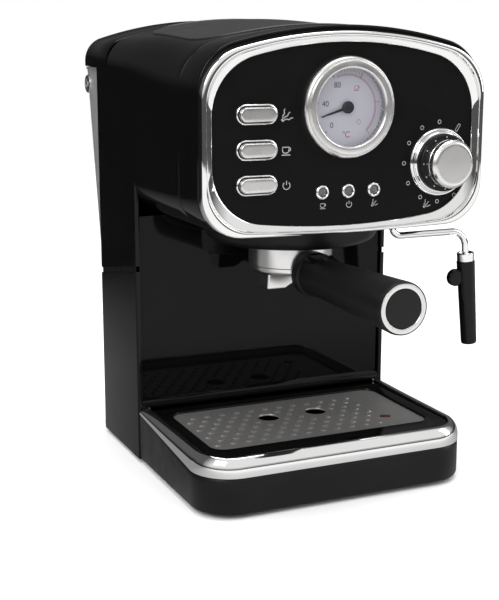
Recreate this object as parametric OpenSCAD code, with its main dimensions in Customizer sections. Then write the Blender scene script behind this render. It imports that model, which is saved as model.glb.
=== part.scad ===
// Pump espresso machine with a retro front, rear water tank and swivelling steam wand.
// Millimetres. +X right, +Y to the rear, +Z up, origin on the table under the middle of the whole part.
// Shapes are placed by x from the middle of the body and by their distance d from the front of the
// drip tray (see place).

/* [Body] */
// Width of the body
body_w = 204; // [200:1:210]
// Depth of the body, from the front of the drip tray to the rear edge of the roof
body_d = 268; // [268:1:274]
// Height of the body
body_h = 316; // [314:1:320]
// Thickness of the moulded walls
wall = 2.5; // [2:0.1:3]
// Distance from the front of the tray to the front face of the column
column_d = 133; // [132:1:134]
// Height of the joint between the upper and the lower housing, at its rear end
joint_z = 131; // [128:1:140]
// Slope of that joint, rising to the front, degrees
joint_slope = 10; // [0:1:10]

/* [Head] */
// Height of the bottom of the head above the table
head_z = 184; // [183:0.5:185]
// Distance from the front of the tray to the fascia
fascia_d = 7; // [6.8:0.1:7.2]
// Radius of the upper corners of the head
head_r_high = 34; // [30:1:36]
// Radius of the lower corners of the head
head_r_low = 28; // [24:1:32]
// Radius of the crown of the roof
crown_r = 300; // [280:10:400]

/* [Front panel] */
// Height of the middle of the gauge
gauge_z = 264.5; // [262:0.5:266]
// Outside radius of the gauge bezel
gauge_r = 32.5; // [31:0.5:34]
// Length of a push button
button_w = 24.8; // [22:0.2:26]
// Height of a push button
button_h = 9.4; // [8:0.2:10]
// Travel of a push button
button_travel = 2.5; // [1:0.5:2.5]
// Radius of the ring behind the steam knob
knob_r = 22.6; // [21:0.2:24]
// Radius of the chrome cap of the steam knob
knob_cap_r = 15.8; // [14:0.2:16.4]

/* [Group and portafilter] */
// Distance from the front of the tray to the axis of the brew group
group_d = 88; // [86:1:90]
// Outside radius of the portafilter
filter_r = 30; // [29.5:0.5:30]
// Height of the handle's axis
handle_z = 148.5; // [147:0.5:150]
// Distance that the handle reaches in front of the tray
handle_reach = 70; // [50:5:80]
// Radius of the handle at its end
handle_r = 16.8; // [15:0.2:18]
// Turn from locked to free, degrees
lock_turn = 50; // [45:1:55]

/* [Steam wand] */
// Distance from the middle of the machine to the wand's swivel axis
wand_x = 58; // [57:0.5:60]
// Distance from the front of the tray to the wand's swivel axis
wand_d = 45; // [40:1:46]
// Radius of the steam pipe
pipe_r = 2.4; // [2:0.1:2.6]
// Sideways reach of the pipe from its swivel axis
wand_reach = 61; // [50:1:66]
// Outward lean of the lower part of the wand, degrees
wand_lean = 5; // [0:1:6]

/* [Drip tray] */
// Height of the black wall of the tray at its front
tray_wall_z = 28; // [26:1:30]
// Height of the top of the chrome trim
trim_z = 42; // [41:0.5:43]
// Radius of the front corners of the tray
tray_r = 28; // [24:1:30]
// Width of the grate
grate_w = 166; // [160:1:168]
// Depth of the grate
grate_l = 88; // [84:1:90]

/* [Water tank] */
// Height of the tank's floor
tank_z = 61; // [61:0.5:62]
// Height of the tank's rim
tank_top = 283; // [280:1:284]
// Lean of the tank's rear wall, degrees
tank_lean = 10.2; // [8:0.2:10.2]

/* [Hidden] */
$fn = 48;
gap = 0.3;                       // between mouldings that don't touch
half_w = body_w / 2;
foot_h = 3;
cover_d = 41;                    // rear edge of the front cover
wing_d = 214;                    // rear edge of the side walls
joint_front = joint_z + (wing_d - column_d + 2.7) * tan(joint_slope);
bump_d = 226;                    // rear of the base
bump_z = 58;
inner_d = 188.5;                 // rear face of the inner rear wall
plate_d = 44;                    // front edge of the cup plate
lid_d = 209;                     // front edge of the tank lid
lid_low = 285.8;
lid_hinge_d = 206;
lid_hinge_z = body_h - 4;
tank_half = half_w - 5;
tank_front = 190.5;
tank_rear_low = 225.4;
handle_root_d = 55;
front_y = (handle_reach - body_d) / 2;
shroud_z = 168;
ring_low = 145;
ring_high = 174.9;
lug_r = 34.8;
pipe_z = 172;                    // height of the wand's sideways run
wand_bend = 12;                  // radius of the wand's outer bend
sleeve_len = 68;
sleeve_tip_r = 5.6;
wand_tip_x = wand_x + wand_reach + (sleeve_len + 4) * sin(wand_lean) + sleeve_tip_r * cos(wand_lean);
mid_x = (wand_tip_x - half_w) / 2;
panel_d = fascia_d + wall;       // rear face of the fascia
button_x = -63.6;
button_z = [261.7, 239.8, 217.9];
lamp_x = [-17, 1.8, 20.6];
lamp_z = 211;
knob_x = 69.5;
knob_z = 227;
grate_d = 28;                    // front edge of the grate
grate_z = 37.6;
float_x = 60;
float_d = 52;
boss_d = 252;                    // bosses at the top of the tank
boss_z = 272;
clip_d = 42;                     // pivot of the filter retention clip
clip_z = handle_z + 12;

// ---- placing ----

// Moves to x from the middle of the body, distance d from the front of the tray and height z
module place(x, d, z) {
    translate([x - mid_x, front_y + d, z]) children();
}

// Extrudes an outline drawn in (x, z) from distance d0 to d1
module slab_y(d0, d1) {
    place(0, d1, 0) rotate([90, 0, 0]) linear_extrude(d1 - d0) children();
}

// Extrudes an outline drawn in (x, d) from height z0 to z1
module slab_z(z0, z1) {
    place(0, 0, z0) linear_extrude(z1 - z0) children();
}

// Extrudes an outline drawn in (d, z) from x0 to x1
module slab_x(x0, x1) {
    place(x0, 0, 0) rotate([90, 0, 90]) linear_extrude(x1 - x0) children();
}

// A cylinder along Y from distance d0 to d1, centred at (x, z)
module rod_y(x, z, r, d0, d1, r2 = -1) {
    place(x, d0, z) rotate([-90, 0, 0]) cylinder(h = d1 - d0, r1 = r, r2 = r2 < 0 ? r : r2);
}

// A cylinder along Z at (x, d) from z0 to z1
module rod_z(x, d, r, z0, z1, r2 = -1) {
    place(x, d, z0) cylinder(h = z1 - z0, r1 = r, r2 = r2 < 0 ? r : r2);
}

// A cylinder along X at (d, z) from x0 to x1
module rod_x(d, z, r, x0, x1) {
    place(x0, d, z) rotate([0, 90, 0]) cylinder(h = x1 - x0, r = r);
}

module box(x0, d0, z0, x1, d1, z1) {
    place(x0, d0, z0) cube([x1 - x0, d1 - d0, z1 - z0]);
}

// ---- outlines ----

function arc(x, z, r, a0, a1, n = 10) =
    [for (i = [0:n]) let (a = a0 + (a1 - a0) * i / n) [x + r * cos(a), z + r * sin(a)]];

// Outline of the head: level sides, rounded corners, a crowned top and a slightly bowed bottom
function loaf(w, z0, z1, r_low, r_high, r_top, r_bottom) = let (
        xh = w / 2 - r_high,
        ch = sqrt(pow(r_top - r_high, 2) - xh * xh),
        top = atan2(ch, xh),
        xl = w / 2 - r_low,
        cl = sqrt(pow(r_bottom - r_low, 2) - xl * xl),
        low = atan2(cl, xl))
    concat(
        arc(xh, z1 - r_top + ch, r_high, 0, top),
        arc(0, z1 - r_top, r_top, top + 1, 179 - top, 16),
        arc(-xh, z1 - r_top + ch, r_high, 180 - top, 180),
        arc(-xl, z0 + r_bottom - cl, r_low, 180, 180 + low),
        arc(0, z0 + r_bottom, r_bottom, 180 + low + 0.2, 360 - low - 0.2, 8),
        arc(xl, z0 + r_bottom - cl, r_low, 360 - low, 360));

module head_outline(inset = 0) {
    polygon(loaf(body_w - 2 * inset, head_z + inset, body_h - inset, head_r_low - inset,
        head_r_high - inset, crown_r - inset, 3000));
}

module bezel_outline(inset = 0) {
    polygon(loaf(body_w - 4 - 2 * inset, head_z + 0.4 + inset, body_h - 4 - inset, 26 - inset,
        31 - inset, crown_r - inset, 3000));
}

module fascia_outline(inset = 0) {
    polygon(loaf(body_w - 17 - 2 * inset, head_z + 5.3 + inset, body_h - 10.7 - inset,
        37 - inset, 38 - inset, 260, 500));
}

module rounded(x0, y0, x1, y1, r) {
    translate([x0, y0 + r]) square([x1 - x0, y1 - y0 - 2 * r]);
    translate([x0 + r, y0]) square([x1 - x0 - 2 * r, y1 - y0]);
    for (x = [x0 + r, x1 - r], y = [y0 + r, y1 - r]) translate([x, y]) circle(r);
}

module pill(w, h) {
    square([w - h, h], center = true);
    for (s = [-1, 1]) translate([s * (w - h) / 2, 0]) circle(h / 2);
}

// Plan of the drip tray, round at the front
module tray_plan(inset = 0, rear = 0) {
    r = max(tray_r - inset, 4);
    w = half_w - 0.5 - inset;
    back = column_d - 3.2 - rear;
    translate([-w, r + inset]) square([2 * w, back - r - inset]);
    translate([-w + r, inset]) square([2 * (w - r), back - inset]);
    for (s = [-1, 1]) translate([s * (w - r), r + inset]) circle(r);
}

// Side view of the column between a lower and an upper edge, each given at its rear and its front
module side_between(rear_low, front_low, rear_high, front_high) {
    front = column_d - 2.7;
    polygon([[front, front_low], [wing_d, rear_low], [wing_d, rear_high], [front, front_high]]);
}

// Side view of the roof, with its round rear edge
module roof_side(inset = 0) {
    r = 32 - inset;
    back = body_d - inset;
    top = body_h - inset;
    translate([cover_d - 40, 0]) square([back - cover_d + 40, top - r]);
    translate([cover_d - 40, 0]) square([back - r - cover_d + 40, top]);
    translate([back - r, top - r]) circle(r);
}

// Side view of the tank, with its leaning rear wall
module tank_side(inset = 0, floor = 0, top = tank_top) {
    lean = tan(tank_lean);
    polygon([[tank_front + inset, tank_z + floor], [tank_rear_low - inset + lean * floor, tank_z + floor],
        [tank_rear_low - inset + lean * (top - tank_z), top], [tank_front + inset, top]]);
}

// ---- housing ----

module lower_housing() {
    color([0.09, 0.09, 0.1]) difference() {
        union() {
            slab_x(-half_w, half_w) side_between(foot_h, foot_h, joint_z - 2, joint_front - 2);
            box(-half_w + 2, wing_d - 1, foot_h + 4, half_w - 2, bump_d, bump_z);
        }
        box(-half_w + wall, column_d + 2.5, -1, half_w - wall, inner_d - 2.5, joint_front);
        box(-half_w + wall, inner_d - 3, -1, half_w - wall, bump_d - wall, bump_z - wall);
        box(-half_w + wall, inner_d - 3, bump_z, half_w - wall, wing_d + 1, joint_front);
        box(-half_w + 3.5, column_d - 3, 48, half_w - 3.5, column_d + 3, joint_front);
        box(-half_w + 3.5, column_d - 3, 42.8, half_w - 3.5, column_d + 0.3, 49);
        box(-88.6, column_d - 4, foot_h - 1, 88.6, column_d + 6, foot_h + 3.3);
        rod_y(62, 20, 9, bump_d - 5, bump_d + 1);
    }
}

module upper_housing() {
    color([0.07, 0.07, 0.08]) difference() {
        union() {
            intersection() {
                slab_y(cover_d + gap, lid_hinge_d - 0.4) head_outline();
                slab_x(-half_w, half_w) roof_side();
            }
            slab_x(-half_w, half_w) side_between(joint_z + 2, joint_front + 2, 240, 240);
            box(-half_w, lid_hinge_d - 2, 239, half_w, wing_d, lid_low - 0.5);
        }
        slab_y(cover_d - 1, lid_hinge_d + 1) head_outline(wall);
        box(-half_w + wall, column_d + 2.5, joint_z - 1, half_w - wall, wing_d + 1, 240);
        box(-half_w + wall, lid_hinge_d - 3, 239, half_w - wall, wing_d + 1, 300);
        box(-half_w + 3.5, column_d - 3, joint_z - 1, half_w - 3.5, column_d + 3, head_z - gap);
        rod_z(0, group_d, 46, head_z - 5, head_z + 5);
        rod_z(wand_x, wand_d, 8, head_z - 5, head_z + 5);
        intersection() {
            slab_y(plate_d - 1, 130) difference() {
                translate([-80, 290]) square([160, 40]);
                head_outline(1.2);
            }
            slab_x(-80, 80) translate([plate_d - 1, 290]) square([131 - plate_d, 40]);
        }
        box(-33, lid_hinge_d - 5, 308, 33, lid_hinge_d + 1, 320);
    }
    color([0.07, 0.07, 0.08]) for (s = [-1, 1]) difference() {
        box(s * 31 - 1.8, lid_hinge_d - 5.2, 309, s * 31 + 1.8, lid_hinge_d + 2, 313.9);
        rod_x(lid_hinge_d, lid_hinge_z, 1.55, -40, 40);
    }
}

module seam_band() {
    color([0.03, 0.03, 0.03]) for (s = [-1, 1])
        slab_x(s > 0 ? half_w - wall : -half_w + 1.2, s > 0 ? half_w - 1.2 : -half_w + wall)
            side_between(joint_z - 2, joint_front - 2, joint_z + 2, joint_front + 2);
}

module rear_cover() {
    color([0.1, 0.1, 0.1]) difference() {
        box(-half_w + wall + gap, inner_d - 2.3, bump_z + 0.2, half_w - wall - gap, inner_d, 266);
        rod_y(0, tank_z + 11, 6, inner_d - 4, inner_d + 1);
    }
}

module backsplash() {
    color([0.12, 0.12, 0.12]) {
        box(-half_w + 3.7, column_d, 48.2, half_w - 3.7, column_d + 2.2, head_z - 0.5);
        slab_x(-half_w + 4, half_w - 4) polygon([[column_d - 2.5, 43], [column_d - 2.8, 46],
            [column_d + 0.1, 48.4], [column_d + 0.1, 43]]);
    }
}

module group_shroud() {
    color([0.05, 0.05, 0.05]) difference() {
        rod_z(0, group_d, 56, shroud_z, head_z - 0.4, 63);
        rod_z(0, group_d, 45.5, shroud_z - 1, head_z + 1);
        rod_z(wand_x, wand_d, 8, shroud_z - 1, head_z + 1);
        box(-80, column_d - gap, shroud_z - 1, 80, column_d + 30, head_z + 1);
    }
}

module front_cover() {
    color([0.06, 0.06, 0.07]) difference() {
        slab_y(fascia_d - 0.8, cover_d) head_outline();
        slab_y(panel_d + 2.8, cover_d + 1) head_outline(wall);
        slab_y(fascia_d - 2, panel_d + 0.5) bezel_outline(-0.3);
        slab_y(0, cover_d) fascia_outline(5);
        rod_z(wand_x, wand_d, 8, head_z - 5, head_z + 5);
        rod_z(0, group_d, 46.5, head_z - 5, head_z + 5);
    }
}

module chrome_bezel() {
    color([0.85, 0.85, 0.86]) difference() {
        union() {
            slab_y(fascia_d - 3, panel_d + 0.3) bezel_outline();
            slab_y(fascia_d - 4.8, fascia_d - 3) bezel_outline(1.6);
        }
        slab_y(0, fascia_d - 2.2) fascia_outline(-0.8);
        slab_y(0, panel_d + 1) fascia_outline();
    }
}

module fascia() {
    color([0.1, 0.1, 0.1]) difference() {
        slab_y(fascia_d, panel_d) fascia_outline(0.2);
        rod_y(0, gauge_z, 28, 0, 20);
        for (z = button_z) slab_y(0, 20) translate([button_x, z]) pill(button_w + 0.7, button_h + 0.7);
        for (x = lamp_x) rod_y(x, lamp_z, 3, 0, 20);
        rod_y(knob_x, knob_z, 6, 0, 20);
    }
}

// ---- gauge ----

module gauge_bezel() {
    color([0.86, 0.86, 0.87]) difference() {
        union() {
            rod_y(0, gauge_z, gauge_r, fascia_d - 5, fascia_d - 0.05);
            rod_y(0, gauge_z, gauge_r - 2.5, fascia_d - 7.5, fascia_d - 5, gauge_r);
        }
        rod_y(0, gauge_z, 27.7, fascia_d - 6, fascia_d + 1);
        rod_y(0, gauge_z, 24.6, -5, fascia_d);
    }
}

module gauge_glass() {
    color([0.8, 0.85, 0.9, 0.3]) rod_y(0, gauge_z, 27.4, fascia_d - 5.9, fascia_d - 4.7);
}

module gauge_dial() {
    color([0.88, 0.86, 0.92]) difference() {
        rod_y(0, gauge_z, 26.2, fascia_d, fascia_d + 0.8);
        rod_y(0, gauge_z, 1.1, 0, 20);
    }
}

module gauge_needle() {
    color([0.2, 0.2, 0.22]) {
        rod_y(0, gauge_z, 3.6, fascia_d - 3, fascia_d - 0.4);
        rod_y(0, gauge_z, 1, fascia_d - 1, fascia_d + 9);
        place(0, fascia_d - 1.2, gauge_z) rotate([90, 197, 0])
            linear_extrude(0.7) polygon([[0, -0.9], [20, -0.4], [20, 0.4], [0, 0.9]]);
    }
}

module gauge_can() {
    color([0.6, 0.6, 0.62]) difference() {
        rod_y(0, gauge_z, 27.4, fascia_d - 4.6, fascia_d + 17);
        rod_y(0, gauge_z, 26.3, 0, fascia_d + 0.9);
        rod_y(0, gauge_z, 25, fascia_d + 0.8, fascia_d + 15.8);
    }
    color([0.6, 0.6, 0.62]) difference() {
        rod_y(0, gauge_z, 4, fascia_d + 3, fascia_d + 15.9);
        rod_y(0, gauge_z, 1.05, fascia_d + 2, fascia_d + 12);
    }
}

// ---- buttons, lamps and knob ----

module button_bezels() {
    color([0.88, 0.88, 0.88]) for (z = button_z) slab_y(fascia_d - 3, fascia_d - 0.05)
        translate([button_x, z]) difference() {
            pill(button_w + 4.4, button_h + 3.2);
            pill(button_w + 0.7, button_h + 0.7);
        }
}

module push_button(z) {
    color([0.82, 0.82, 0.83]) translate([button_x, 0, z]) {
        slab_y(fascia_d - 5.6, fascia_d + 3.4) pill(button_w, button_h);
        slab_y(fascia_d + 2.8, fascia_d + 4.2) pill(button_w + 2.4, button_h + 2.4);
        rod_y(0, 0, 2, fascia_d + 4, fascia_d + 7.9);
    }
}

module switch_board() {
    color([0.1, 0.3, 0.16]) box(-84, fascia_d + 16, 205, -44, fascia_d + 17.6, 275);
    color([0.12, 0.12, 0.12]) for (z = button_z)
        box(button_x - 5, fascia_d + 10.7, z - 5, button_x + 5, fascia_d + 16, z + 5);
}

module indicator_rings() {
    color([0.86, 0.86, 0.86]) for (x = lamp_x) difference() {
        rod_y(x, lamp_z, 4.2, fascia_d - 1.8, fascia_d - 0.05, 4.9);
        rod_y(x, lamp_z, 3.05, 0, 20);
    }
}

module indicator_lenses() {
    color([0.45, 0.45, 0.45]) for (x = lamp_x) rod_y(x, lamp_z, 2.9, fascia_d - 1.2, fascia_d + 7);
}

module knob_base_ring() {
    color([0.86, 0.86, 0.86]) difference() {
        union() {
            rod_y(knob_x, knob_z, knob_r - 0.8, fascia_d - 3, fascia_d - 0.05, knob_r);
            rod_y(knob_x, knob_z, knob_r - 2.4, fascia_d - 4.6, fascia_d - 2.9);
        }
        rod_y(knob_x, knob_z, 6, 0, 20);
    }
}

module knob_skirt() {
    color([0.05, 0.05, 0.05]) difference() {
        rod_y(knob_x, knob_z, knob_r - 4.2, fascia_d - 9.6, fascia_d - 5, knob_r - 3.4);
        rod_y(knob_x, knob_z, 3.05, -20, 20);
    }
}

module knob_cap() {
    color([0.85, 0.85, 0.86]) difference() {
        union() {
            rod_y(knob_x, knob_z, knob_cap_r, fascia_d - 18, fascia_d - 9.6);
            rod_y(knob_x, knob_z, knob_cap_r - 1.6, fascia_d - 20, fascia_d - 18, knob_cap_r);
        }
        rod_y(knob_x, knob_z, 3, fascia_d - 16, fascia_d);
    }
}

module valve_spindle() {
    color([0.75, 0.6, 0.3]) rod_y(knob_x, knob_z, 3, fascia_d - 16, fascia_d + 26);
}

module steam_valve() {
    color([0.72, 0.58, 0.3]) difference() {
        union() {
            rod_y(knob_x, knob_z, 9, fascia_d + 12, fascia_d + 46);
            rod_y(knob_x, knob_z, 12, fascia_d + 20, fascia_d + 26);
            rod_x(fascia_d + 38, knob_z, 4, 38, knob_x);
        }
        rod_y(knob_x, knob_z, 3.05, 0, fascia_d + 28);
    }
}

// ---- brew group ----

module group_head() {
    color([0.7, 0.7, 0.71]) difference() {
        union() {
            rod_z(0, group_d, 42, ring_high - 6.4, 182);
            rod_z(0, group_d, 42, 182, 192);
        }
        rod_z(0, group_d, 30.6, shroud_z - 1, 171.1);
        rod_z(0, group_d, lug_r + 0.5, 171, 182);
        for (s = [0, 180]) place(0, group_d, 168) rotate([0, 0, s - lock_turn])
            linear_extrude(3.5) polygon([[20, -12], [37, -14], [37, 14], [20, 12]]);
        rod_z(0, group_d, 2.2, 181, 187);
        rod_z(14, group_d, 2, 181, 193);
    }
    color([0.7, 0.7, 0.71]) difference() {
        rod_z(0, group_d, 24, 178.2, 182.2);
        rod_z(0, group_d, 2.2, 177, 187);
        rod_z(14, group_d, 2, 177, 193);
    }
}

module group_gasket() {
    color([0.1, 0.1, 0.1]) difference() {
        rod_z(0, group_d, 34.8, 176, 181.9);
        rod_z(0, group_d, 25.6, 175, 183);
    }
}

module shower_screen() {
    color([0.75, 0.75, 0.76]) difference() {
        rod_z(0, group_d, 25.3, 177, 178);
        rod_z(0, group_d, 2.2, 170, 180);
        for (k = [0:11]) place(0, group_d, 170) rotate([0, 0, 30 * k])
            translate([16, 0, 0]) cylinder(h = 12, r = 0.8, $fn = 16);
    }
}

module shower_screw() {
    color([0.75, 0.75, 0.76]) {
        rod_z(0, group_d, 2.15, 176.5, 186.5);
        difference() {
            rod_z(0, group_d, 4.2, 174.6, 176.9);
            box(-5, group_d - 0.6, 174, 5, group_d + 0.6, 175.6);
        }
    }
}

module portafilter_ring() {
    color([0.84, 0.84, 0.84]) difference() {
        union() {
            rod_z(0, group_d, filter_r, ring_low + 2, ring_high);
            rod_z(0, group_d, filter_r - 2.5, ring_low, ring_low + 2, filter_r);
            for (s = [0, 180]) place(0, group_d, 171.3) rotate([0, 0, s])
                linear_extrude(3) intersection() {
                    circle(lug_r);
                    polygon([[0, 0], [40, -10], [40, 10]]);
                }
            rod_y(0, handle_z + 1, 9, handle_root_d + 0.5, group_d - filter_r + 5);
        }
        rod_z(0, group_d, 26.4, ring_low + 4, ring_high + 1);
        rod_z(0, group_d, 4, ring_low - 1, ring_high);
        rod_y(0, handle_z + 1, 4.05, 30, group_d - 27);
    }
}

module filter_basket() {
    color([0.78, 0.78, 0.79]) difference() {
        union() {
            rod_z(0, group_d, 26, 150, ring_high + 0.2);
            rod_z(0, group_d, 29, ring_high, ring_high + 0.8);
        }
        rod_z(0, group_d, 25.2, 150.8, ring_high + 2);
    }
}

module coffee_spout() {
    color([0.82, 0.82, 0.82]) difference() {
        slab_y(group_d - 9, group_d + 9) polygon([[-19, 133.7], [-8, 133.7], [0, 139], [8, 133.7],
            [19, 133.7], [19, 139], [14, ring_low - 0.1], [-14, ring_low - 0.1], [-19, 139]]);
        for (s = [-1, 1]) rod_z(s * 13.5, group_d, 3, 130, 141);
        rod_z(0, group_d, 3.5, 142, 150);
    }
}

module handle_grip() {
    color([0.06, 0.06, 0.06]) difference() {
        union() {
            rod_y(0, handle_z, handle_r, 1 - handle_reach, 34, 13.6);
            rod_y(0, handle_z, 13.6, 34, 46, 14.2);
            rod_y(0, handle_z, 15.6, 46, handle_root_d);
            box(-9.8, clip_d - 6, handle_z, 9.8, clip_d + 6, clip_z + 2.2);
        }
        box(-7.4, clip_d - 18, clip_z - 4.2, 7.4, handle_root_d + 1, handle_z + 30);
        rod_y(0, handle_z + 1, 4, 30, 80);
        rod_y(0, handle_z, 3.1, -handle_reach - 1, 31);
        rod_y(0, handle_z, handle_r - 4.6, -handle_reach - 1, 4 - handle_reach);
        rod_x(clip_d, clip_z, 1.05, -20, 20);
    }
}

module handle_ring() {
    color([0.87, 0.87, 0.87]) difference() {
        rod_y(0, handle_z, handle_r - 0.6, -handle_reach, 0.9 - handle_reach);
        rod_y(0, handle_z, handle_r - 4.4, -handle_reach - 1, 2 - handle_reach);
    }
}

module handle_cap() {
    color([0.07, 0.07, 0.07])
        rod_y(0, handle_z, handle_r - 4.7, 0.2 - handle_reach, 3.8 - handle_reach);
}

module handle_bolt() {
    color([0.7, 0.7, 0.72]) {
        rod_y(0, handle_z, 3, 6 - handle_reach, 30.5);
        rod_y(0, handle_z + 1, 3.95, 30.5, group_d - 27.2);
    }
}

module filter_clip() {
    color([0.08, 0.08, 0.08]) difference() {
        union() {
            box(-7, clip_d - 16, clip_z - 0.6, 7, clip_d + 9, clip_z + 1.8);
            rod_x(clip_d, clip_z, 2.3, -7, 7);
        }
        rod_x(clip_d, clip_z, 1.05, -20, 20);
    }
}

module clip_pin() {
    color([0.7, 0.7, 0.72]) rod_x(clip_d, clip_z, 1, -9.4, 9.4);
}

// ---- steam wand ----

// Frame of the leaning lower part of the wand, with its origin under the outer bend
module wand_place() {
    place(wand_x + wand_reach, wand_d, pipe_z - wand_bend) rotate([0, -wand_lean, 0]) children();
}

// A quarter bend in the XZ plane, from +X round to +Z
module bend(r) {
    rotate([90, 0, 0]) rotate_extrude(angle = 90) translate([r, 0]) circle(pipe_r);
}

module steam_pipe() {
    bend_r = 7;
    tail = 70;
    color([0.82, 0.82, 0.83]) {
        rod_z(wand_x, wand_d, pipe_r, pipe_z + bend_r, 200);
        place(wand_x + bend_r, wand_d, pipe_z + bend_r) rotate([0, 180, 0]) bend(bend_r);
        rod_x(wand_d, pipe_z, pipe_r, wand_x + bend_r, wand_x + wand_reach - wand_bend);
        place(wand_x + wand_reach - wand_bend, wand_d, pipe_z - wand_bend) bend(wand_bend);
        wand_place() translate([0, 0, -tail]) cylinder(h = tail, r = pipe_r);
    }
}

module wand_nut() {
    color([0.2, 0.2, 0.2]) difference() {
        union() {
            rod_z(wand_x, wand_d, 7.4, head_z - 3.5, head_z + 6);
            rod_z(wand_x, wand_d, 10, head_z + 3.5, head_z + 6);
        }
        rod_z(wand_x, wand_d, pipe_r + 0.05, 150, 210);
    }
}

module frother_sleeve() {
    color([0.05, 0.05, 0.05]) wand_place() difference() {
        union() {
            translate([0, 0, -4 - sleeve_len]) cylinder(h = sleeve_len, r1 = sleeve_tip_r, r2 = 6.6);
            translate([-9.5, 0, -21]) rotate([90, 0, 0]) cylinder(h = 5, r = 6.2, center = true);
        }
        translate([0, 0, -10]) cylinder(h = 10, r = 5.3);
        translate([0, 0, -60]) cylinder(h = 60, r = pipe_r + 0.05);
        translate([0, 0, -90]) cylinder(h = 40, r = 3.6);
    }
}

module frother_collar() {
    color([0.85, 0.85, 0.85]) wand_place() difference() {
        translate([0, 0, -9.9]) cylinder(h = 6.4, r = 5.2);
        translate([0, 0, -20]) cylinder(h = 30, r = pipe_r + 0.05);
        translate([0, 0, -5.4]) cylinder(h = 3, r = 4);
    }
}

// ---- drip tray ----

module drip_tray() {
    color([0.1, 0.1, 0.1]) {
        difference() {
            slab_z(foot_h, tray_wall_z) tray_plan();
            slab_z(9.5, tray_wall_z + 1) tray_plan(wall);
            slab_z(0, 7) tray_plan(wall, -10);
        }
        difference() {
            rod_z(float_x, float_d, 6.4, 9.4, 26);
            rod_z(float_x, float_d, 4.6, 9.3, 27);
            box(float_x - 1.5, float_d - 10, 9.6, float_x + 1.5, float_d + 10, 20);
        }
    }
}

module tray_trim() {
    color([0.87, 0.87, 0.88]) difference() {
        union() {
            slab_z(tray_wall_z + 0.05, 35) tray_plan();
            slab_z(35, 39.5) tray_plan(1.6);
            slab_z(39.5, trim_z) tray_plan(4);
        }
        slab_z(tray_wall_z - 1, trim_z + 1) tray_plan(7.5, 2);
    }
}

module tray_frame() {
    color([0.07, 0.07, 0.07]) difference() {
        slab_z(32, 40) tray_plan(7.8, 2.4);
        slab_z(31, 36.5) tray_plan(10.3, 5);
        slab_z(30, 41) rounded(-grate_w / 2 + 4, grate_d + 4, grate_w / 2 - 4, grate_d + grate_l - 4, 7);
        slab_z(grate_z - 0.1, 41) rounded(-grate_w / 2 - 0.4, grate_d - 0.4, grate_w / 2 + 0.4,
            grate_d + grate_l + 0.4, 10.4);
        slab_z(38.2, 41) rounded(88.2, 40, 92, 112, 1.8);
    }
}

module drip_grate() {
    rows = 8;
    row_step = 8.6;
    hole_step = 12;
    color([0.75, 0.74, 0.73]) difference() {
        slab_z(grate_z, grate_z + 1) rounded(-grate_w / 2, grate_d, grate_w / 2, grate_d + grate_l, 10);
        for (s = [-1, 1]) rod_z(s * 19, 83, 8, 30, 50);
        rod_z(float_x, float_d, 4.2, 30, 50);
        for (row = [0:rows - 1], col = [-5:5]) {
            x = (col + (row % 2) / 2) * hole_step;
            d = grate_d + 14 + row * row_step;
            clear = min(norm([abs(x) - 19, d - 83]), norm([x - float_x, d - float_d]) + 3);
            if (clear > 10.5) rod_z(x, d, 1.3, 30, 50, $fn = 16);
        }
    }
}

module level_float() {
    color([0.75, 0.1, 0.08]) {
        rod_z(float_x, float_d, 3.6, 10, 38.2);
        rod_z(float_x, float_d, 4.2, 10, 22);
    }
}

// ---- base ----

module base_plate() {
    color([0.12, 0.12, 0.12]) difference() {
        union() {
            slab_z(foot_h, foot_h + 3) rounded(-88, 8, 88, 160, 12);
            box(-half_w + wall + gap, column_d + 3, foot_h, half_w - wall - gap, bump_d - wall - gap,
                foot_h + 3);
        }
        for (x = [-66, 66], d = [150, 205]) rod_z(x, d, 2.1, 0, 10);
        rod_z(0, 170, 5, 0, 10);
    }
}

module rubber_feet() {
    color([0.15, 0.15, 0.15]) for (x = [-74, 74], d = [26, 216])
        rod_z(x, d, 7, 0, foot_h - 0.02, 8);
}

module base_screws() {
    color([0.7, 0.7, 0.7]) for (x = [-66, 66], d = [150, 205]) {
        rod_z(x, d, 2.05, foot_h - 0.5, 16);
        rod_z(x, d, 4, foot_h - 2, foot_h - 0.02);
    }
}

// ---- roof and tank ----

module cup_plate() {
    color([0.2, 0.2, 0.21]) intersection() {
        slab_y(plate_d, 129) difference() {
            head_outline(0.2);
            head_outline(1.18);
        }
        box(-79, plate_d, 290, 79, 129, 330);
    }
}

module water_tank() {
    rear = 18;
    color([0.75, 0.77, 0.8, 0.35]) {
        difference() {
            intersection() {
                slab_x(-tank_half, tank_half) tank_side();
                slab_z(0, 400) rounded(-tank_half, tank_front, tank_half, body_d, rear);
            }
            intersection() {
                slab_x(-tank_half + 2.2, tank_half - 2.2) tank_side(2.2, 2.4, tank_top + 1);
                slab_z(0, 400) rounded(-tank_half + 2.2, tank_front + 2.2, tank_half - 2.2, body_d,
                    rear - 2.2);
            }
            rod_y(0, tank_z + 11, 3, tank_front - 1, tank_front + 4);
        }
        difference() {
            rod_y(0, tank_z + 11, 5.5, tank_front - 8, tank_front + 0.5);
            rod_y(0, tank_z + 11, 3, tank_front - 12, tank_front + 4);
        }
        for (s = [-1, 1]) rod_x(boss_d, boss_z, 7,
            s > 0 ? tank_half - 0.4 : -tank_half - 1.6, s > 0 ? tank_half + 1.6 : -tank_half + 0.4);
    }
}

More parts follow.
